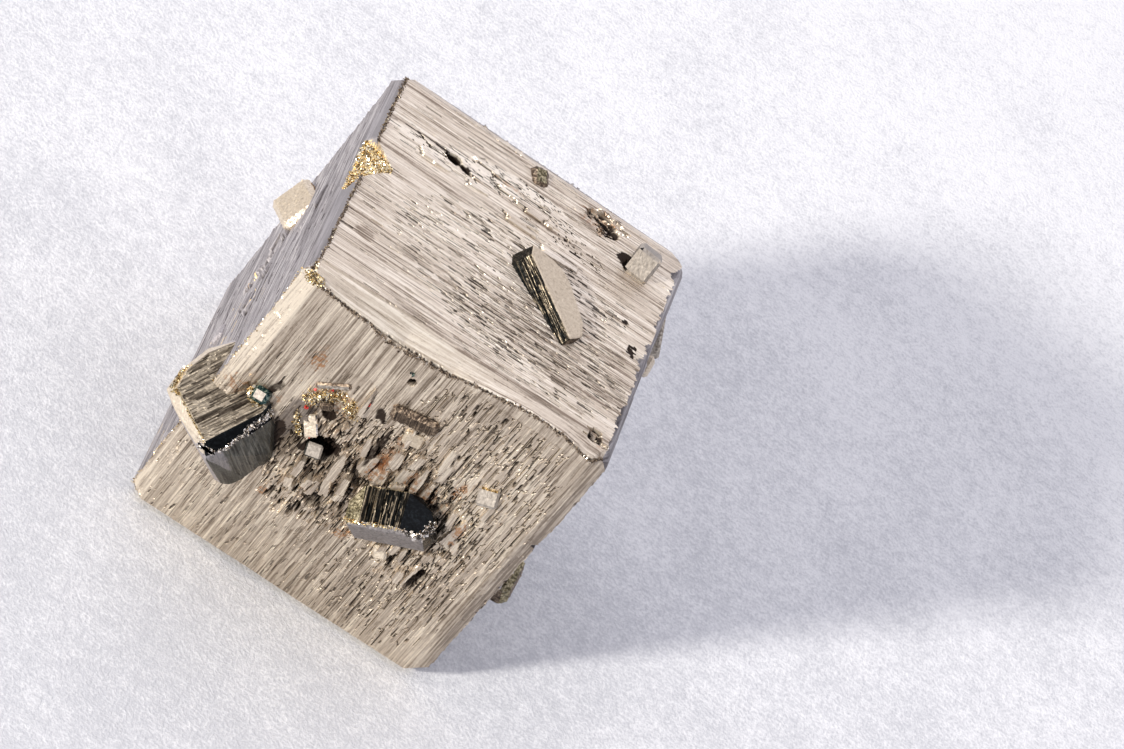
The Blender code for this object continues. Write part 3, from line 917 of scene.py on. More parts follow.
def finish_left(relief):
    relief.hollow(22.0, 6.0, 7.0, 3.0, 1.0, 20, 0.5)
    relief.hollow(34.0, 2.0, 1.6, 4.0, 0.8, 0, 0.8)
    relief.stain_and_shade(52.6, 0.0, 2.4, 40.0, 0, 0.1, 0, -0.9)
    relief.calm(50.8, 0.0, 2.4, 60.0, 0.12)
    relief.stain_and_shade(50.6, 0.0, 1.8, 25.0, 0, 0.1, 0, -0.5, -0.6)
    relief.chips(200, "high", (0.05, 0.2), (0.1, 0.5), (0.0, 0.08), dark=0.9)
    relief.chips(100, "end", (0.3, 1.0), (0.3, 1.6), (0.1, 0.5), dark=0.5)
    relief.chips(100, "start", (0.1, 0.5), (0.3, 1.0), (0.05, 0.3), dark=0.5)


def all_reliefs():
    reliefs = {
        "front": front_relief(),
        "top": top_relief(),
        "left": left_relief(),
        "back": plain_relief("back", 12),
        "right": plain_relief("right", 13),
        "bottom": bottom_relief(),
    }
    add_splinters(reliefs)
    finish_front(reliefs["front"])
    finish_top(reliefs["top"])
    finish_left(reliefs["left"])
    reliefs["back"].hollow(2.0, 14.0, 7.0, 5.0, 1.3, 0, 0.4)
    reliefs["right"].hollow(26.0, 2.0, 8.0, 4.0, 1.1, 10, 0.4)
    return reliefs


RELIEFS = all_reliefs()
print("relief cells:", {name: relief.shape for name, relief in RELIEFS.items()})

# %% [markdown]
# ## The cube
# Six grids share their edges, so the stone has no gaps. Each is fine across its striations and
# coarser along them. A depth under a face moves its points inwards, and an edge point takes
# the depths of both its faces, so that ridges come out stepped as on the stone.

# %% Grids of the cube
FINE = 0.115
ROWS = {"front": 200, "back": 36, "top": 186, "bottom": 16, "left": 92, "right": 36}
SQUEEZE = 3.0
SETTLE = 4


class CubeGrids:
    """Points and faces of the cube's six grids, before any depth."""

    def __init__(self):
        self.points = []
        self.fine = [
            np.linspace(LOW[axis], HIGH[axis], int((HIGH[axis] - LOW[axis]) / FINE) + 1) for axis in range(3)
        ]
        self.corners = {}
        self.edges = {}
        for signs in np.ndindex(2, 2, 2):
            sides = tuple(2 * s - 1 for s in signs)
            self.corners[sides] = self.add([wall(k, sides[k]) for k in range(3)])
        for axis in range(3):
            for first in (-1, 1):
                for second in (-1, 1):
                    self.edges_along(axis, first, second)
        self.faces = {name: self.grid(name) for name in FACES}

    def add(self, point):
        self.points.append(tuple(point))
        return len(self.points) - 1

    def edges_along(self, axis, first, second):
        sides = [0, 0, 0]
        sides[(axis + 1) % 3] = first
        sides[(axis + 2) % 3] = second
        ends = []
        for end in (-1, 1):
            corner = list(sides)
            corner[axis] = end
            ends.append(self.corners[tuple(corner)])
        place = [wall(k, sides[k]) for k in range(3)]
        run = [ends[0]]
        for value in self.fine[axis][1:-1]:
            place[axis] = value
            run.append(self.add(place))
        self.edges[tuple(sides)] = run + [ends[1]]

    def edge(self, *sides):
        """The points of the edge with these sides, such as edge((1, -1), (2, 1))."""
        key = [0, 0, 0]
        for axis, side in sides:
            key[axis] = side
        return self.edges[tuple(key)]

    def grid(self, name):
        axis, side = FACES[name]
        across, along = across_axis(axis), along_axis(axis)
        columns = self.fine[across]
        rows = np.linspace(LOW[along], HIGH[along], ROWS[name])
        ids = np.zeros((len(columns), len(rows)), int)
        ids[:, 0] = self.edge((axis, side), (along, -1))
        ids[:, -1] = self.edge((axis, side), (along, 1))
        place = [0.0, 0.0, 0.0]
        place[axis] = wall(axis, side)
        for i in range(1, len(columns) - 1):
            place[across] = columns[i]
            for j in range(1, len(rows) - 1):
                place[along] = rows[j]
                ids[i, j] = self.add(place)
        quads = np.stack([ids[1:-2, :-1], ids[2:-1, :-1], ids[2:-1, 1:], ids[1:-2, 1:]], axis=-1)
        faces = quads.reshape(-1, 4).tolist()
        for end, inner in ((-1, 1), (1, len(columns) - 2)):
            border = self.edge((axis, side), (across, end))
            faces += self.zip_together(border, self.fine[along], ids[inner], rows, flip=end > 0)
        # Across, along and outwards make a right-handed set on the low sides only.
        return faces if side < 0 else [face[::-1] for face in faces]

    def zip_together(self, border, border_at, inner, inner_at, flip):
        """Triangles between a fine border and a coarser row of points beside it."""
        faces = []
        i = j = 0
        while i < len(border) - 1 or j < len(inner) - 1:
            take_border = j == len(inner) - 1 or (i < len(border) - 1 and border_at[i + 1] <= inner_at[j + 1])
            if take_border:
                face = [border[i], inner[j], border[i + 1]]
                i += 1
            else:
                face = [border[i], inner[j], inner[j + 1]]
                j += 1
            if len(set(face)) == 3:
                faces.append(face[::-1] if flip else face)
        return faces


grids = CubeGrids()
triangles = {name: sum(len(face) - 2 for face in faces) for name, faces in grids.faces.items()}
print("cube:", len(grids.points), "points, triangles:", triangles)

# %% [markdown]
# ## Where the smaller crystals stand
# Each is placed by a point, and by how far its end face leans and turns.

# %% Crystal places
def pose(at, lean, turn, roll=0.0):
    """Tips a shape's own +Z from up towards -Y by lean, swings it round Z, and rolls it in its plane."""
    return (
        Matrix.Translation(Vector(at))
        @ Matrix.Rotation(math.radians(turn), 4, "Z")
        @ Matrix.Rotation(math.radians(lean), 4, "X")
        @ Matrix.Rotation(math.radians(roll), 4, "Z")
    )


def on_face(name, across, along, out=0.0):
    """The point of a face at these places, or out past it, in the solid's frame."""
    axis, side = FACES[name]
    place = [0.0, 0.0, 0.0]
    place[axis] = wall(axis, side) + side * out
    place[across_axis(axis)] = across
    place[along_axis(axis)] = along
    return place


CORNER_POSE = pose((-20.1, -29.6, 21.5), 42, -42)
CORNER_GAP = [(-8.6, 1.6), (-6.3, 3.6), (-5.2, 6.4), (-4.6, 8.9), (-2.6, 10.0), (2.0, 9.0), (2.0, -2.5)]
CORNER_GAP += [(-13.0, -2.5)]
CORNER_GAP_RISE = 9.0
NOTCH_POSE = pose(on_face("top", 1.6, -21.8, -1.25), 24, -90)
NOTCH = [(-5.4, -2.2), (-5.2, -1.0), (-0.7, 3.1), (1.2, 1.4), (5.6, -1.6), (5.6, -3.4), (-4.6, -3.6)]
NOTCH_RISE = 4.0
CORNER_WEAR = {(1, 1, 1): 1.5, (-1, 1, 1): 1.1, (1, -1, -1): 1.3, (-1, -1, -1): 0.9, (1, -1, 1): 1.2}
WEAR = 0.9
SINK = 0.35
GOLD_SHARE = 0.75
DARK_SHARE = 0.12


def inside_outline(x, y, outline):
    """Which of the points are in a polygon."""
    inside = np.zeros(len(x), bool)
    for (x0, y0), (x1, y1) in zip(outline, outline[1:] + outline[:1]):
        crosses = (y0 > y) != (y1 > y)
        inside ^= crosses & (x < (x1 - x0) * (y - y0) / (y1 - y0 + 1e-12) + x0)
    return inside


def pressed(points, placed, outline, rise, floor):
    """Moves what stands above a placed plane, inside an outline, down to that plane's floor height."""
    inverse = np.array(placed.inverted())
    local = points @ inverse[:3, :3].T + inverse[:3, 3]
    hit = (local[:, 2] > floor) & (local[:, 2] < rise) & inside_outline(local[:, 0], local[:, 1], outline)
    local[hit, 2] = floor
    back = np.array(placed)
    points[hit] = local[hit] @ back[:3, :3].T + back[:3, 3]
    return hit


def worn_corners(points):
    """Takes the points of the cube's corners off, more at some than at others."""
    middle = (LOW + HIGH) / 2
    for signs in np.ndindex(2, 2, 2):
        sides = 2 * np.array(signs) - 1
        outwards = sides / math.sqrt(3)
        tip = middle + sides * (HIGH - LOW) / 2
        cut = CORNER_WEAR.get(tuple(sides.tolist()), WEAR) + BAND * BAND_SLOPE
        over = (points - tip) @ outwards + cut
        rows = over > 0
        points[rows] -= outwards * over[rows][:, None]


print("crystal places ready")

# %% [markdown]
# ## Laying the relief on the cube
# The corner crystal's end stays uncovered: the cube's edge stops short above it. A small
# wedge is also gone from the ridge at the left of the top.

# %% Cube points
def displaced(nominal):
    """Moves the points inwards by the depths of the faces that they lie on or near."""
    place = nominal.copy()
    for _ in range(SETTLE):
        moved = nominal.copy()
        for name, (axis, side) in FACES.items():
            near = 1.0 - np.abs(nominal[:, axis] - wall(axis, side)) / SQUEEZE
            rows = near > 0
            depth = RELIEFS[name].depth_at(place[rows, across_axis(axis)], place[rows, along_axis(axis)])
            moved[rows, axis] -= side * depth * near[rows]
        place = moved
    return place


cube_nominal = np.array(grids.points)
cube_points = displaced(cube_nominal)
cube_layers = {name: np.zeros(len(cube_nominal)) for name in LAYERS}
for name, (axis, side) in FACES.items():
    rows = cube_nominal[:, axis] == wall(axis, side)
    found = RELIEFS[name].layers_at(cube_points[rows, across_axis(axis)], cube_points[rows, along_axis(axis)])
    for layer, values in found.items():
        cube_layers[layer][rows] = values
worn_corners(cube_points)
in_gap = pressed(cube_points, CORNER_POSE, CORNER_GAP, CORNER_GAP_RISE, -SINK)
in_notch = pressed(cube_points, NOTCH_POSE, NOTCH, NOTCH_RISE, 0.0)
notch_grain = np.random.default_rng(8).uniform(0, 1, len(cube_points))
cube_layers["gold"][in_notch] = 0.9 * (notch_grain[in_notch] > 1 - GOLD_SHARE)
cube_layers["tone"][in_notch] = notch_grain[in_notch] * 1.6 - 0.6
cube_layers["dark"][in_notch] = 0.6 * (notch_grain[in_notch] > 1 - DARK_SHARE)
print("points in the corner gap:", int(in_gap.sum()), "and in the notch:", int(in_notch.sum()))

# %% [markdown]
# ## Pyrite finishes
# Clean pyrite is pale brass. A thin tarnish turns it beige-grey, and lavender where it is
# thicker; iron oxide rusts in the gaps. A finish reads the painted layers of a mesh and adds
# what is too fine to model: hairlines along the striations, and a satin grain.
# Its dark layer mixes towards near-black: dirt between the plates, and painted shade where marks stand for
# shadows.

# %% Mineral finish
# Near-black brown for the dark layer: dirt, and painted shade and shadows.
DIRT_AND_SHADE = rgb(0.020, 0.012, 0.008)
RUST = rgb(0.42, 0.20, 0.08)
LAVENDER = rgb(0.36, 0.345, 0.36)
GOLD = rgb(1.0, 0.74, 0.36)


def flow_scale(across, along, through=None):
    """How finely a pattern varies on each axis: once a millimetre across, slowly along."""
    scale = [0.3, 0.3, 0.3]
    scale[across] = 1.0
    scale[along] = 0.03
    if through is not None:
        scale[through] = 1.0
    return tuple(scale)


def mineral(name, colours, flow, contrast, rough, metal, dashes, relief):
    """A finish from three colours: dull, body and light. Hairlines follow the flow; dashes are dark ones."""
    dull, body, light = (rgb(*colour) for colour in colours)
    finish = Finish(name)
    stretched = finish.place.vector_math("MULTIPLY", flow)
    fine = stretched.noise(2.2, 3.0, 0.7)
    hair = stretched.noise(5.0, 2.0, 0.6)
    broad = finish.place.noise(0.22, 3.0)
    grain = finish.place.noise(2.6, 3.0, 0.6)
    dark, tone, warm, gold = (finish.attribute(layer) for layer in LAYERS)
    drift = (fine - 0.5) * 1.8 + (hair - 0.5) * 1.7 + (broad - 0.5) * 0.35 + (grain - 0.5) * 0.4
    level = 0.5 + drift * contrast + tone * 0.38
    colour = level.step(0.0, 0.5).mix(dull, body)
    colour = level.step(0.45, 1.05).mix(colour, light)
    speckle = finish.place.noise(1.7, 3.0, 0.7).step(0.40, 0.62)
    colour = ((warm * speckle).step(0.1, 1.0) * 0.75).mix(colour, RUST)
    colour = ((warm * -1.0).step(0.05, 1.0) * 0.8).mix(colour, LAVENDER)
    colour = (gold + (grain - 0.5) * 0.6).step(0.35, 0.75).mix(colour, GOLD)
    short_flow = tuple(v if v == 1.0 else v * 4.0 for v in flow)
    cut = finish.place.vector_math("MULTIPLY", short_flow).noise(6.0, 3.0, 0.7)
    # Dark layer and dashes go to near-black: dirt and painted shade.
    gaps_and_shade = ((dark + (grain - 0.5) * 0.6).step(0.15, 1.1) + cut.step(0.66, 0.70) * dashes).clamp()
    colour = gaps_and_shade.mix(colour, DIRT_AND_SHADE)
    height = fine * 0.5 + hair * 0.35 + grain * 0.1 - gaps_and_shade * 0.6
    return finish.set(
        Base_Color=colour,
        Metallic=(1.0 - gaps_and_shade * 0.8) * metal,
        Roughness=rough + (fine - 0.5) * 0.25 + gaps_and_shade * 0.35 - gold.step(0.4, 0.8) * 0.12,
        Specular_IOR_Level=0.25,
        Normal=height.bump(0.00016 * relief, 0.9),
    )


print("finish recipe ready")

# %% [markdown]
# ## The palette
# Each row is a dull, a body and a light colour, then contrast, roughness, metal, dashes and
# relief. The small crystals differ by the light they catch as much as by their tarnish: the
# clean ones are gold and silver, the old ones umber and bark.

# %% Palette
EVEN_FLOW = (0.6, 0.6, 0.6)
LOCAL_FLOW = flow_scale(0, 1, 2)
FLOWS = {
    "front": flow_scale(0, 2),
    "top": flow_scale(1, 0),
    "left": flow_scale(2, 1),
    "slate": flow_scale(1, 2),
    "brown": LOCAL_FLOW,
    "striped": LOCAL_FLOW,
    "bark": LOCAL_FLOW,
}
# Partly painted light and shade: the top is painted lighter for the light it catches, the left side darker
# for the little it gets; their hues are tarnish.
FACE_COLOURS = {
    "front": ((0.25, 0.20, 0.15), (0.52, 0.44, 0.355), (0.80, 0.71, 0.58), 1.0, 0.47, 0.85, 0.7, 1.0),
    "top": ((0.30, 0.235, 0.18), (0.715, 0.62, 0.505), (0.96, 0.875, 0.75), 0.9, 0.42, 0.85, 0.6, 1.0),
    "left": ((0.135, 0.122, 0.126), (0.30, 0.28, 0.288), (0.55, 0.52, 0.518), 0.9, 0.58, 0.5, 0.6, 0.6),
}
FACET_COLOURS = {
    "bronze": ((0.38, 0.315, 0.235), (0.58, 0.495, 0.385), (0.72, 0.635, 0.51), 0.7, 0.5, 0.7, 0.1, 0.4),
    "cream": ((0.50, 0.42, 0.32), (0.70, 0.61, 0.49), (0.84, 0.76, 0.64), 0.7, 0.45, 0.8, 0.05, 0.5),
    "brown": ((0.11, 0.09, 0.068), (0.235, 0.20, 0.155), (0.34, 0.295, 0.235), 0.8, 0.5, 0.75, 0.8, 1.0),
    # Near-black: painted dark reflection on facets that mirror the dim room, and painted shade on sides
    # turned from the light.
    "black": ((0.003, 0.003, 0.004), (0.006, 0.007, 0.008), (0.02, 0.025, 0.03), 0.6, 0.22, 0.6, 0.0, 0.2),
    "slate": ((0.05, 0.05, 0.046), (0.10, 0.10, 0.09), (0.18, 0.175, 0.155), 1.1, 0.4, 0.8, 0.2, 0.8),
    "ash": ((0.12, 0.11, 0.108), (0.26, 0.24, 0.238), (0.40, 0.375, 0.365), 0.8, 0.5, 0.7, 0.1, 0.5),
    "lavender": ((0.30, 0.27, 0.275), (0.43, 0.40, 0.405), (0.56, 0.52, 0.52), 0.9, 0.5, 0.7, 0.1, 0.5),
    # Near-black with bright lines: the black is painted dark reflection.
    "striped": ((0.004, 0.005, 0.005), (0.014, 0.012, 0.009), (0.46, 0.38, 0.27), 0.3, 0.35, 0.8, 0.3, 0.8),
    "olive": ((0.06, 0.05, 0.03), (0.20, 0.17, 0.10), (0.50, 0.44, 0.30), 1.3, 0.4, 0.85, 0.1, 0.8),
    "grey": ((0.17, 0.145, 0.12), (0.38, 0.34, 0.29), (0.62, 0.56, 0.48), 1.1, 0.45, 0.8, 0.3, 0.8),
    "umber": ((0.05, 0.035, 0.025), (0.15, 0.11, 0.08), (0.34, 0.27, 0.20), 1.4, 0.5, 0.6, 0.6, 1.0),
    "bark": ((0.015, 0.010, 0.007), (0.055, 0.039, 0.028), (0.19, 0.145, 0.105), 1.3, 0.7, 0.25, 0.5, 1.2),
    "drab": ((0.24, 0.213, 0.185), (0.37, 0.332, 0.292), (0.49, 0.445, 0.392), 0.8, 0.58, 0.45, 0.05, 0.4),
    "amber": ((0.30, 0.16, 0.07), (0.52, 0.33, 0.17), (0.80, 0.60, 0.38), 1.3, 0.4, 0.7, 0.1, 0.8),
    "gold": ((0.30, 0.20, 0.08), (0.92, 0.74, 0.42), (1.0, 0.93, 0.74), 1.6, 0.2, 1.0, 0.1, 0.3),
    "silver": ((0.12, 0.11, 0.10), (0.55, 0.50, 0.45), (0.95, 0.90, 0.84), 1.8, 0.2, 1.0, 0.3, 0.3),
    "teal": ((0.01, 0.03, 0.032), (0.04, 0.09, 0.09), (0.25, 0.32, 0.27), 1.8, 0.3, 0.8, 0.3, 0.6),
    "red": ((0.25, 0.01, 0.01), (0.60, 0.03, 0.03), (0.80, 0.15, 0.10), 1.0, 0.4, 0.3, 0.0, 0.3),
}
FINISHES = {}
for table, label in ((FACE_COLOURS, "pyrite_{}"), (FACET_COLOURS, "{}_facet")):
    for key, (dull, body, light, *look) in table.items():
        flow = FLOWS.get(key, EVEN_FLOW)
        FINISHES[key] = mineral(label.format(key), (dull, body, light), flow, *look)
print("finishes:", sorted(FINISHES))

# %% [markdown]
# ## The cube's pieces
# The front, the top and the other four faces are one mesh each, meeting point on point.

# %% Cube pieces
def mesh_object(name, points, faces, finishes, face_finishes=None, layers=None, places=None):
    """A mesh piece that rides on the stone, from points in millimetres. Its pattern is read at its places."""
    mesh = bpy.data.meshes.new(name)
    mesh.from_pydata((np.asarray(points) * MM).tolist(), [], faces)
    for finish in finishes:
        mesh.materials.append(FINISHES[finish])
    if face_finishes is not None:
        mesh.polygons.foreach_set("material_index", np.asarray(face_finishes, np.int32))
    places = np.asarray(points if places is None else places, np.float32)
    mesh.attributes.new("place", "FLOAT_VECTOR", "POINT").data.foreach_set("vector", places.ravel())
    for key, values in (layers or {}).items():
        mesh.attributes.new(key, "FLOAT", "POINT").data.foreach_set("value", np.asarray(values, np.float32))
    mesh.update()
    item = bpy.data.objects.new(name, mesh)
    bpy.context.scene.collection.objects.link(item)
    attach(item, "root")
    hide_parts("pyrite_crystal")
    return item


def cube_piece(name, face_names, finish_of):
    """One mesh of the named faces, with only the points that they use."""
    order = sorted(set(finish_of.values()))
    faces = [face for key in face_names for face in grids.faces[key]]
    slots = [order.index(finish_of[key]) for key in face_names for _ in grids.faces[key]]
    used = sorted({index for face in faces for index in face})
    number = dict(zip(used, range(len(used))))
    faces = [[number[index] for index in face] for face in faces]
    layers = {key: values[used] for key, values in cube_layers.items()}
    return mesh_object(name, cube_points[used], faces, order, slots, layers)


cube_piece("front_face", ["front"], {"front": "front"})
cube_piece("top_face", ["top"], {"top": "top"})
cube_piece(
    "other_faces",
    ["left", "back", "right", "bottom"],
    {"left": "left", "back": "front", "right": "left", "bottom": "top"},
)
print("cube pieces made")

# %% [markdown]
# ## Smaller crystals
# Each is a hull with worn edges, sliced into small cells so that its facets carry their own
# striations. A facet takes the finish named for the direction that it faces.

# %% Crystal builder
UP, LOW_SIDE, TOP_SIDE = (0, 0, 1), (0, -1, 0), (0, 1, 0)
RIGHT_SIDE, LEFT_SIDE, FOOT = (1, 0, 0), (-1, 0, 0), (0, 0, -1)
EDGE_MATCH = 0.93
SHARP = math.radians(38)
BOX_MARGIN = 0.03
FLAT = 0.01
CUT_SLACK = 1e-5
FACET_MATCH = 0.98
EDGE_SHARE = 0.3


def hull(corners, chamfer):
    """A closed convex mesh round these corners, with its sharp edges worn off."""
    mesh = bmesh.new()
    for corner in corners:
        mesh.verts.new(corner)
    made = bmesh.ops.convex_hull(mesh, input=mesh.verts)
    loose = [v for v in mesh.verts if not v.link_faces]
    bmesh.ops.delete(mesh, geom=loose, context="VERTS")
    bmesh.ops.dissolve_limit(mesh, angle_limit=FLAT, verts=mesh.verts, edges=mesh.edges)
    sharp = [edge for edge in mesh.edges if edge.calc_face_angle(0.0) > SHARP]
    if chamfer:
        bmesh.ops.bevel(mesh, geom=sharp, offset=chamfer, segments=1, affect="EDGES")
    bmesh.ops.recalc_face_normals(mesh, faces=mesh.faces)
    return mesh


def ring(height, *places):
    return [(x, y, height) for x, y in places]


def prism(outline, thick, foot=(0.0, 0.0), spread=1.0):
    """The corners of a flat-topped crystal, its foot shifted and spread."""
    low = [(x * spread + foot[0], y * spread + foot[1]) for x, y in outline]
    return ring(0.0, *outline) + ring(-thick, *low)


def box_outline(width, length):
    w, l = width / 2, length / 2
    return [(-w, -l), (w, -l), (w, l), (-w, l)]


print("crystal shapes ready")

# %% [markdown]
# ## Dressing a crystal
# The hull is cut into cells, because colour and relief live in its points. Where a facet has a
# relief of its own, its points are moved by it; everywhere a slight grain takes the shine off.

# %% Crystal dresser
def slice_up(mesh, step):
    """Cuts the mesh into cells of this size along X, Y and Z."""
    for axis in range(3):
        low = min(v.co[axis] for v in mesh.verts)
        high = max(v.co[axis] for v in mesh.verts)
        normal = Vector([1.0 if k == axis else 0.0 for k in range(3)])
        for i in range(1, int((high - low) / step[axis])):
            everything = mesh.verts[:] + mesh.edges[:] + mesh.faces[:]
            at = normal * (low + i * step[axis])
            bmesh.ops.bisect_plane(mesh, geom=everything, plane_co=at, plane_no=normal, dist=CUT_SLACK)


def facet_finish(normal, facets, edge):
    """The finish of the best-matching direction, or the edge finish where none matches well."""
    match, finish = max((normal.dot(Vector(direction).normalized()), finish) for direction, finish in facets)
    return edge if edge and match < EDGE_MATCH else finish


def kept_inside(points):
    """Keeps points in the solid's box."""
    low, high = (np.array(corner) / MM for corner in cad_box)
    return np.clip(points, low + BOX_MARGIN, high - BOX_MARGIN)


def crystal(
    name, corners, placed, facets, edge=None, chamfer=0.12, step=(0.2, 0.2, 0.3), rough=0.03, reliefs=()
):
    """One crystal. reliefs: (direction, Relief, its across and along axes) of finely worked facets."""
    mesh = hull(corners, chamfer)
    order = sorted({finish for _, finish in facets} | ({edge} if edge else set()))
    for face in mesh.faces:
        face.material_index = order.index(facet_finish(face.normal, facets, edge))
    slice_up(mesh, step)
    mesh.normal_update()
    layers = {key: np.zeros(len(mesh.verts)) for key in LAYERS}
    points = np.zeros((len(mesh.verts), 3))
    places = np.array([v.co for v in mesh.verts])
    for v in mesh.verts:
        grain = noise.noise(v.co * 2.3) + 0.6 * noise.noise(v.co * 6.1)
        place = v.co + v.normal * (grain * rough)
        for direction, relief, (across, along) in reliefs:
            axis = Vector(direction)
            share = sum(face.normal.dot(axis) > FACET_MATCH for face in v.link_faces) / len(v.link_faces)
            if share:
                i, j = relief.cells(v.co[across], v.co[along])
                place -= axis * (relief.depth[i, j] * (1.0 if share == 1 else EDGE_SHARE))
                for layer in LAYERS:
                    layers[layer][v.index] = getattr(relief, layer)[i, j]
        points[v.index] = placed @ place
    faces = [[v.index for v in face.verts] for face in mesh.faces]
    slots = [face.material_index for face in mesh.faces]
    mesh.free()
    return mesh_object(name, kept_inside(points), faces, order, slots, layers, places)


print("crystal builder ready")

# %% [markdown]
# ## The corner crystal
# Its square end faces up and out. The end is brown with long dark dashes, its worn edges are a
# pale cream band on one side and a black facet on the other, painted black as a dark reflection,
# and its lower side is slate.

# %% Corner crystal
CORNER_CORNERS = (
    ring(0.0, (-0.75, 0.1), (-0.75, 8.6), (-1.4, 10.2), (-11.6, 10.2))
    + ring(0.0, (-12.0, 6.0), (-11.2, 2.6), (-9.6, 0.3))
    + ring(-1.3, (0.7, -0.9), (-1.7, -1.11), (-6.1, -1.39), (-8.6, -1.36), (-10.9, -1.1))
    + ring(-1.3, (-12.4, 2.4), (-13.2, 6.1), (-12.6, 9.8), (0.65, 6.0), (0.1, 9.3), (-1.8, 10.6))
    + [(1.7, 7.1, -7.5), (1.6, 5.3, -9.5), (1.1, 2.8, -11.6), (0.7, 1.6, -12.4), (0.3, 0.5, -13.1)]
    + [(-3.6, -0.4, -9.0), (-2.8, -0.5, -10.1), (-2.1, -0.66, -11.3)]
    + [(-1.0, -0.72, -12.9), (-0.3, -0.25, -13.2)]
    + ring(-16.0, (0.5, 1.5), (1.2, 8.0), (0.0, 10.6), (-12.4, 10.6), (-12.4, 4.0), (-11.0, 1.0))
)


def corner_end():
    """The crystal's square end: short brown steps, with dark dashes between them."""
    relief = Relief((-13.5, -1.5), (1.5, 11.5), 21)
    whole = [(-6, 5, 8, 7, 1.0)]
    relief.lands((0.07, 0.3), (0.0, 0.02, 0.04), tone=0.35)
    relief.mottle((1.5, 5), 1, tone=0.4)
    relief.lines(600, whole, (0.0, 0.07), (0.8, 5.0), tone=0.9, deep=-0.02)
    relief.lines(600, whole, (0.0, 0.07), (0.5, 3.0), tone=-0.6, dark=0.4, deep=0.04)
    relief.lines(330, whole, (0.0, 0.14), (0.4, 2.4), dark=0.95, deep=0.1)
    relief.lines(10, [(-4.0, 2.4, 0.25, 1.2, 1.0)], (0.07, 0.2), (2.0, 4.0), dark=1.0, deep=0.15)
    relief.lines(10, [(-3.5, 6.2, 0.4, 1.5, 1.0)], (0.07, 0.2), (2.0, 4.0), dark=1.0, deep=0.15)
    relief.stain_and_shade(-2.0, 4.5, 1.3, 4.6, 0, 0.3, 0, 0.5)
    relief.stain_and_shade(-7.0, 6.6, 1.4, 2.0, 0, 0.5, 0.25, 0, 0.45)
    relief.stain_and_shade(-5.4, 8.6, 1.8, 2.2, 0, 0.5, 0.35, 0, 0.45)
    return relief


def corner_side():
    """Its lower right side: fine slate steps, paler and lavender near the end."""
    relief = Relief((-1.5, -16.5), (11.0, 0.5), 22)
    whole = [(5, -6, 7, 8, 1.0)]
    relief.lands((0.07, 0.3), (0.0, 0.015, 0.03), tone=0.6)
    relief.lines(400, whole, (0.0, 0.07), (1.0, 6.0), tone=0.6)
    relief.lines(300, whole, (0.0, 0.07), (1.0, 6.0), tone=-0.8, dark=0.5)
    relief.stain_and_shade(0.4, -5.0, 1.6, 9.0, 0, 0.4, 0, 0.8, -1.2)
    relief.stain_and_shade(8.5, -6.0, 3.0, 9.0, 0, 0.4, 0, -1.0)
    return relief


crystal(
    "corner_crystal",
    CORNER_CORNERS,
    CORNER_POSE,
    [
        (UP, "brown"),
        # Painted dark reflection: the facet that mirrors the dim room.
        ((0.75, 0.0, 0.7), "black"),
        ((1.0, 0.0, 0.1), "slate"),
        ((1.0, 0.3, -0.3), "slate"),
        ((0.0, -0.75, 0.7), "cream"),
        ((-0.6, -0.5, 0.7), "cream"),
        (LOW_SIDE, "lavender"),
        (LEFT_SIDE, "lavender"),
        (TOP_SIDE, "grey"),
        (FOOT, "grey"),
    ],
    step=(0.13, 0.2, 0.5),
    reliefs=[(UP, corner_end(), (0, 1)), (RIGHT_SIDE, corner_side(), (1, 2))],
)
print("corner crystal made")

# %% [markdown]
# ## The dark crystal
# Its end is black with bright gold-green lines, like a comb, and black glass beside them; the
# black of both is painted dark reflection.

# %% Dark crystal
DARK_POSE = pose((3.7, -26.1, 26.0), 46, -38, 46)
DARK_CORNERS = (
    ring(0.0, (-2.84, 2.84), (3.13, 3.02), (2.98, -2.0), (-2.6, -2.15))
    + ring(-0.9, (4.7, 2.9), (6.65, 1.1), (7.1, -0.3), (6.0, -2.4))
    + ring(-0.7, (-4.7, 0.5), (-4.75, -1.9))
    + ring(-0.6, (-4.2, -2.75), (3.3, -2.7), (5.6, -2.75))
    + ring(-7.0, (-4.4, -2.75), (5.3, -2.75), (6.7, -0.5), (6.3, 1.2), (4.5, 3.2), (-2.8, 3.2), (-4.8, 0.4))
)
# The comb's lines: where each stands across the end, and how wide it is.
COMB = [(-2.5, 0.1), (-1.95, 0.06), (-1.1, 0.04), (-0.75, 0.06), (0.1, 0.04), (0.45, 0.08)]
COMB += [(0.9, 0.16), (1.6, 0.05), (2.15, 0.14), (2.7, 0.08)]


def dark_end():
    """Fine dark steps with a comb of bright lines, each at its own place and width."""
    relief = Relief((-5.5, -3.2), (7.5, 4.2), 31)
    relief.lands((0.07, 0.2), (0.0, 0.04, 0.08), tone=0.4)
    relief.lines(60, [(0.2, 0.4, 3.0, 3.0, 1.0)], (0.0, 0.03), (0.8, 3.0), tone=0.7)
    for across, wide in COMB:
        strip, run = relief.patch(across, 0.4, wide, 6.0)
        relief.tone[strip, run] += 1.5
        relief.depth[strip, run] -= 0.08
    relief.lines(90, [(1.2, 0.4, 2.0, 3.0, 1.0)], (0.0, 0.07), (0.4, 1.6), tone=-2.0)
    relief.lines(120, [(0.2, 0.4, 3.2, 3.0, 1.0)], (0.0, 0.07), (0.4, 1.6), tone=-1.4)
    return relief


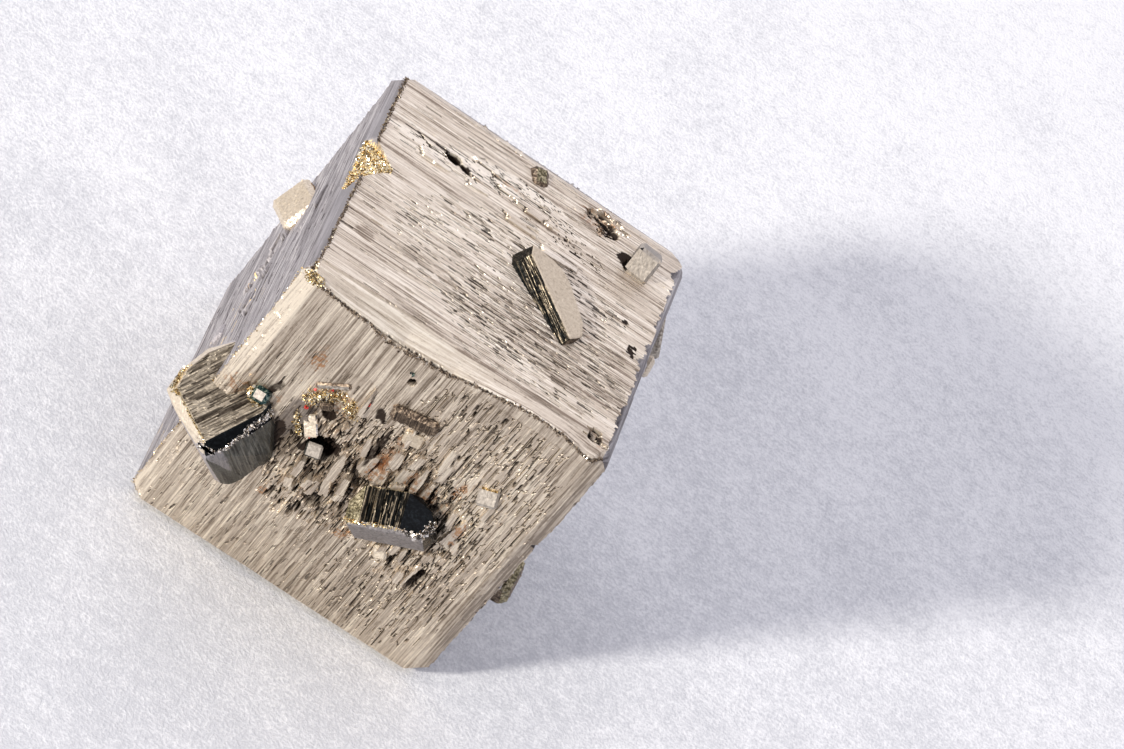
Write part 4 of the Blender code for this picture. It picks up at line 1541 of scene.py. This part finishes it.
crystal(
    "dark_crystal",
    DARK_CORNERS,
    DARK_POSE,
    [
        # Painted dark reflection: the striped end and the black facets below it.
        (UP, "striped"),
        ((0.25, 0.0, 0.97), "black"),
        ((0.25, 0.2, 0.95), "black"),
        ((0.8, 0.0, 0.6), "black"),
        (RIGHT_SIDE, "black"),
        ((-0.4, 0.0, 0.9), "olive"),
        ((-0.5, 0.4, 0.8), "olive"),
        ((0.0, -0.65, 0.75), "ash"),
        (LEFT_SIDE, "grey"),
        (LOW_SIDE, "ash"),
        (TOP_SIDE, "umber"),
        (FOOT, "grey"),
    ],
    chamfer=0.08,
    step=(0.1, 0.16, 0.3),
    reliefs=[(UP, dark_end(), (0, 1))],
)
print("dark crystal made")

# %% [markdown]
# ## The blade
# A long lath on the top: a smooth cream top, and a steep left side in fine dark steps, whose
# near-black is painted dark reflection.

# %% Blade
BLADE_POSE = pose(on_face("top", -3.4, 7.95, 1.6), 6, 63)
BLADE_OUTLINE = [(1.4, 7.2), (2.8, 8.3), (4.3, 5.2), (4.75, 3.2), (4.3, 1.2)]
BLADE_OUTLINE += [(1.9, -4.2), (0.2, -5.8), (-2.1, -5.3)]
BLADE_THICK = 3.4
BLADE_SPREAD = 1.06
BLADE_LINES = [(-0.5, 0.04), (-1.0, 0.03), (-1.4, 0.05)]


def blade_side():
    """The blade's steep side: fine dark steps, with a few bright edges that run its whole length."""
    relief = Relief((-4.0, -7.0), (0.5, 9.0), 41)
    relief.lands((0.07, 0.2), (0.0, 0.02, 0.05), tone=0.4)
    for across, wide in BLADE_LINES:
        strip, run = relief.patch(across, 1.0, wide, 15.0)
        relief.tone[strip, run] += 0.8
        relief.depth[strip, run] -= 0.03
    relief.lines(110, [(-1.2, 1.0, 1.5, 7.0, 1.0)], (0.0, 0.07), (0.6, 3.0), tone=-1.8)
    return relief


# The side's own direction comes from an edge of the end and one of the foot below it.
blade_corners = [Vector(corner) for corner in prism(BLADE_OUTLINE, BLADE_THICK, (-1.7, 0.3), BLADE_SPREAD)]
first_foot = blade_corners[len(BLADE_OUTLINE)]
BLADE_LEFT = (blade_corners[-1] - first_foot).cross(blade_corners[0] - first_foot).normalized()
if BLADE_LEFT.x > 0:
    BLADE_LEFT.negate()
print("the blade's steep side faces", [round(v, 2) for v in BLADE_LEFT])
crystal(
    "blade",
    prism(BLADE_OUTLINE, BLADE_THICK, (-2.3, 0.3), BLADE_SPREAD),
    BLADE_POSE,
    [
        (UP, "bronze"),
        # Painted dark reflection on the steep side.
        (BLADE_LEFT, "striped"),
        (RIGHT_SIDE, "ash"),
        (LOW_SIDE, "umber"),
        (TOP_SIDE, "grey"),
        (FOOT, "grey"),
    ],
    step=(0.12, 0.3, 0.06),
    reliefs=[(BLADE_LEFT, blade_side(), (2, 1))],
)
print("blade made")

# %% [markdown]
# ## The little crystals
# Cubes and blocks a few millimetres wide, in pits and on every side of the stone.

# %% Little crystals
def all_of(finish, up=None, right=None, left=None, top=None, low=None):
    """The same finish on every side, apart from those given."""
    named = [(UP, up), (RIGHT_SIDE, right), (LEFT_SIDE, left), (TOP_SIDE, top), (LOW_SIDE, low), (FOOT, None)]
    return [(direction, own or finish) for direction, own in named]


def on(face, across, along, out, lean, turn, roll=0):
    """A pose on a face, this far out of it."""
    return pose(on_face(face, across, along, out), lean, turn, roll)


BEAD_POSE = pose((-18.2, -24.2, 29.4), 60, -20, 15)
FROSTED = all_of("slate", up="drab", top="black", right="black")
BRIGHT = all_of("cream", right="silver", top="gold", left="slate")
# The edge block's black left side is painted shade.
DRAB_BLOCK = all_of("drab", right="cream", left="black")
TEAL_BEAD = all_of("teal", up="drab", low="drab")
GILT = all_of("drab", top="gold")
AMBER_TOP = all_of("bronze", top="amber")
PALE = all_of("cream", up="lavender")
OLIVE_TOP = all_of("umber", up="olive")
GREY_TOP = all_of("bark", up="grey")
OLIVE_SIDES = all_of("olive", up="grey")
# Name, sizes, pose, finishes of the sides and of the edges, and how far the edges are worn.
LITTLE_CRYSTALS = [
    ("edge_block", (3.6, 4.1, 4.4), on("top", 12.6, 16.9, 1.85, 62, -7), DRAB_BLOCK, None, 0.45),
    ("brown_bead", (2.7, 3.4, 1.6), on("top", 18.6, -0.4, 0.45, 8, 20), OLIVE_TOP, "umber", 0.6),
    ("pit_cube", (2.3, 2.1, 2.6), on("front", -7.7, 25.2, -0.1, 69, -9, 20), FROSTED, None, 0.25),
    ("pit_column", (2.0, 3.2, 2.2), on("front", -10.2, 28.7, 0.1, 69, -9, 40), BRIGHT, None, 0.2),
    ("bright_block", (2.9, 2.6, 2.4), on("front", 14.0, 35.7, 0.7, 58, -11, 25), GILT, None, 0.35),
    ("foot_block", (2.0, 2.0, 2.0), on("front", 7.9, 16.8, 0.4, 79, -11, 30), all_of("cream"), None, 0.3),
    ("edge_bead", (2.4, 2.2, 2.4), BEAD_POSE, TEAL_BEAD, "teal", 0.5),
    ("lath_inclusion", (6.6, 2.6, 1.8), on("front", 0.0, 39.4, 0.7, 90, 0, 12), all_of("bark"), "umber", 0.6),
    ("pit_lump", (1.7, 1.2, 1.4), on("front", -10.1, 32.9, 0.1, 78, 0, 30), all_of("bark"), "umber", 0.3),
    ("flat_chip", (2.8, 2.2, 1.8), on("front", 1.6, 36.4, 0.3, 86, 6, 8), all_of("bronze"), None, 0.3),
    ("grey_lath", (4.8, 1.0, 1.4), on("front", -11.1, 36.5, 0.05, 90, 0, 38), GREY_TOP, "umber", 0.25),
    ("left_block", (7.4, 6.2, 7.0), on("left", 29.0, 13.4, 1.3, 62, -78, 24), AMBER_TOP, "cream", 0.7),
    ("left_chip", (3.2, 2.4, 2.2), on("left", 15.0, -2.0, 0.5, 84, -90, 12), all_of("lavender"), None, 0.35),
    ("right_block", (5.2, 4.0, 6.0), on("right", 41.0, 18.0, 2.6, 66, 98, 20), all_of("grey"), None, 0.35),
    ("right_bead", (2.8, 2.4, 3.4), on("right", 42.8, 8.8, 2.2, 76, 80, 40), all_of("cream"), None, 0.35),
    ("right_lump", (6.6, 4.8, 6.0), on("right", 16.0, -12.4, 3.1, 74, 84, 14), all_of("umber"), "olive", 0.9),
    ("back_block", (6.0, 5.0, 6.0), on("back", 8.6, 33.0, 1.9, 76, 168, 18), OLIVE_SIDES, "cream", 0.4),
    ("back_chip", (3.0, 3.6, 3.0), on("back", -11.4, 17.0, 0.8, 84, 186, 34), PALE, None, 0.35),
]
ROUGHER = {"lath_inclusion": 0.2, "brown_bead": 0.12, "right_lump": 0.15, "left_block": 0.12}
LITTLE_ROUGH = 0.035
for name, (width, length, thick), placed, facets, edge, chamfer in LITTLE_CRYSTALS:
    corners = prism(box_outline(width, length), thick)
    crystal(name, corners, placed, facets, edge, chamfer, rough=ROUGHER.get(name, LITTLE_ROUGH))
print("little crystals:", len(LITTLE_CRYSTALS))

# %% [markdown]
# ## Crumbs
# Where a crystal meets the cube, and along worn edges, tiny crystals catch the light. Each is
# a little box turned at random; together they sparkle.

# %% Crumbs
CRUMB_STRETCH = (0.6, 1.3)
CRUMB_TONE = 1.5
CRUMB_CORNERS = np.array([(x, y, z) for x in (-1, 1) for y in (-1, 1) for z in (-1, 1)], float) / 2
CRUMB_FACES = np.array([(0, 1, 3, 2), (4, 6, 7, 5), (0, 4, 5, 1), (2, 3, 7, 6), (0, 2, 6, 4), (1, 5, 7, 3)])


def turned_at_random(count, grain):
    """Random rotations, from random quaternions."""
    q = grain.normal(size=(count, 4))
    w, x, y, z = (q / np.linalg.norm(q, axis=1, keepdims=True)).T
    rows = [
        (1 - 2 * (y * y + z * z), 2 * (x * y - z * w), 2 * (x * z + y * w)),
        (2 * (x * y + z * w), 1 - 2 * (x * x + z * z), 2 * (y * z - x * w)),
        (2 * (x * z - y * w), 2 * (y * z + x * w), 1 - 2 * (x * x + y * y)),
    ]
    return np.stack([np.stack(row, axis=-1) for row in rows], axis=1)


def crumbs(name, finish, places, size, seed):
    """Boxes of random sizes, turns and tones, one at each place."""
    grain = np.random.default_rng(seed)
    places = np.asarray(places, float)
    count = len(places)
    sizes = grain.uniform(*size, (count, 1, 1)) * grain.uniform(*CRUMB_STRETCH, (count, 1, 3))
    turns = turned_at_random(count, grain).transpose(0, 2, 1)
    boxes = (CRUMB_CORNERS[None] * sizes) @ turns + places[:, None]
    boxes = kept_inside(boxes.reshape(-1, 3))
    faces = (CRUMB_FACES[None] + 8 * np.arange(count)[:, None, None]).reshape(-1, 4).tolist()
    tones = np.repeat(grain.uniform(-CRUMB_TONE, CRUMB_TONE, count), 8)
    return mesh_object(name, boxes, faces, [finish], layers={"tone": tones})


def along_path(path, count, spread, seed):
    """Random places within a spread of a path of points."""
    grain = np.random.default_rng(seed)
    path = np.asarray(path, float)
    at = grain.uniform(0, len(path) - 1, count)
    low = at.astype(int)
    share = (at - low)[:, None]
    return path[low] * (1 - share) + path[low + 1] * share + grain.normal(0, 1, (count, 3)) * spread


def scattered(points, count, spread, seed):
    """Random places near random ones of these points."""
    grain = np.random.default_rng(seed)
    return np.asarray(points)[grain.integers(0, len(points), count)] + grain.normal(0, 1, (count, 3)) * spread


print("crumb helpers ready")

# %% [markdown]
# ## Where the crumbs lie
# They line the rims of the pits and crystals, and the worn edges of the cube. Dark ones along an
# edge break up its outline, as chipped steps do, and a few bright ones among them sparkle.

# %% Crumb places
def by_crystal(placed, *points):
    """Points given in a crystal's own frame."""
    return [tuple(placed @ Vector(point)) for point in points]


def by_front(*places, out=-0.1):
    """Points of the front given across and along it."""
    return [on_face("front", x, z, out) for x, z in places]


def by_edge(*sides):
    """The points of an edge of the cube that are not pressed in."""
    return cube_points[[i for i in grids.edge(*sides) if not (in_gap[i] or in_notch[i])]]


GOLD_ARC = by_front((-12.6, 31.6), (-12.2, 33.4), (-11.0, 34.8), (-9.4, 35.6), (-7.6, 35.2), (-6.6, 33.8))
PIT_RIM = by_front((-12.6, 29.6), (-11.6, 27.4), (-10.4, 26.6), out=0.0)
CRUST_AT = [(-11.6, 3.0, -0.5), (-11.0, 1.2, -0.4), (-10.2, -0.2, -0.5), (-8.8, 0.2, -0.1)]
CRUST = by_crystal(CORNER_POSE, *CRUST_AT)
INNER = by_crystal(CORNER_POSE, (-8.5, 0.1, -0.03), (-4.9, 0.0, -0.03), (-0.9, 0.1, -0.03))
RIM = by_crystal(CORNER_POSE, (0.7, 1.2, -1.3), (0.75, 2.4, -1.3), (0.4, 4.4, -1.1), (0.4, 5.6, -1.1))
RIM_END = by_crystal(CORNER_POSE, (0.3, 5.4, -1.0), (-0.1, 6.6, -0.8), (-0.2, 8.2, -0.7), (-0.8, 9.6, -0.4))
PATCH = by_crystal(CORNER_POSE, (-0.9, -0.5, -0.4), (0.6, 0.3, -1.1))
DARK_AT = [(-4.7, -2.0, -0.6), (-3.4, -2.3, -0.2), (-2.5, -2.3, -0.05), (3.0, -2.2, -0.05)]
DARK_LOW = by_crystal(DARK_POSE, *DARK_AT)
DARK_RIGHT = by_crystal(DARK_POSE, (3.6, -2.3, -0.3), (5.6, -2.6, -0.8), (6.6, -1.6, -1.0), (7.0, -0.4, -1.0))
BEAD_RIM = [(-19.3, -23.6, 29.0), (-18.6, -23.4, 27.8), (-17.2, -23.2, 27.2)]
RIDGE = by_edge((1, -1), (2, 1))
LEFT_RIDGE = by_edge((0, -1), (2, 1))
LEFT_EDGE = by_edge((0, -1), (1, -1))
NOTCH_FLOOR = cube_points[in_notch]
RIDGE_LEFT = by_front((-23.2, 50.0), out=-0.6) + by_front((-21.0, 49.9), out=-0.2)
RED_AT = by_front((-18.4, 27.4), (-10.8, 36.0), (-12.6, 34.6), (-15.6, 18.6), out=0.02)
RED_AT += by_front((-9.4, 27.2), (-6.0, 37.4), (-12.2, 31.0), out=0.02)
TEAL_AT = by_front((-4.2, 45.9), out=0.0)
print("crumbs lie on", len(RIDGE), "ridge points and", len(NOTCH_FLOOR), "of the notch")

# %% [markdown]
# ## Making the crumbs
# One row a piece: its finish, how its crumbs are strewn over which points, how many there are,
# how far they stray and how wide they are, in millimetres, and the seed of its dice.

# %% Crumb pieces
CRUMBS = [
    ("gold_arc", "gold", along_path, GOLD_ARC, 700, (0.55, 0.08, 0.5), (0.05, 0.2), 1),
    ("pit_rim", "gold", along_path, PIT_RIM, 120, (0.25, 0.1, 0.25), (0.06, 0.25), 17),
    ("crust_left", "gold", along_path, CRUST, 420, (0.35, 0.3, 0.12), (0.08, 0.28), 3),
    ("crust_inner", "gold", along_path, INNER, 220, (0.07, 0.07, 0.03), (0.06, 0.18), 5),
    ("rim_crumbs", "silver", along_path, RIM, 170, (0.1, 0.15, 0.1), (0.1, 0.32), 7),
    ("rim_end", "silver", along_path, RIM_END, 300, (0.28, 0.3, 0.2), (0.08, 0.32), 19),
    ("patch_crumbs", "silver", along_path, PATCH, 220, (0.3, 0.35, 0.15), (0.12, 0.32), 9),
    ("dark_edge", "gold", along_path, DARK_LOW, 220, (0.1, 0.1, 0.06), (0.1, 0.28), 11),
    ("dark_corner", "silver", along_path, DARK_RIGHT, 240, (0.25, 0.25, 0.2), (0.12, 0.42), 13),
    ("bead_rim", "gold", along_path, BEAD_RIM, 150, (0.3, 0.3, 0.3), (0.12, 0.4), 21),
    ("ridge_dark", "umber", scattered, RIDGE, 1300, 0.13, (0.05, 0.2), 23),
    ("ridge_light", "silver", scattered, RIDGE, 160, 0.12, (0.05, 0.15), 25),
    ("left_ridge_dark", "umber", scattered, LEFT_RIDGE, 1100, 0.13, (0.05, 0.16), 27),
    ("left_ridge_gold", "gold", scattered, LEFT_RIDGE, 110, 0.12, (0.05, 0.15), 29),
    ("left_edge_gold", "gold", scattered, LEFT_EDGE, 300, 0.1, (0.05, 0.16), 31),
    ("notch_gold", "gold", scattered, NOTCH_FLOOR, 2600, 0.08, (0.08, 0.3), 33),
    ("ridge_sparkle", "gold", along_path, RIDGE_LEFT, 220, (0.4, 0.3, 0.4), (0.1, 0.32), 15),
    ("red_specks", "red", scattered, RED_AT, 26, 0.12, (0.1, 0.26), 35),
    ("teal_speck", "teal", scattered, TEAL_AT, 8, 0.12, (0.15, 0.3), 37),
]
for name, finish, strewn, points, count, spread, size, seed in CRUMBS:
    crumbs(name, finish, strewn(points, count, spread, seed), size, seed + 1)
print("crumb pieces:", len(CRUMBS))
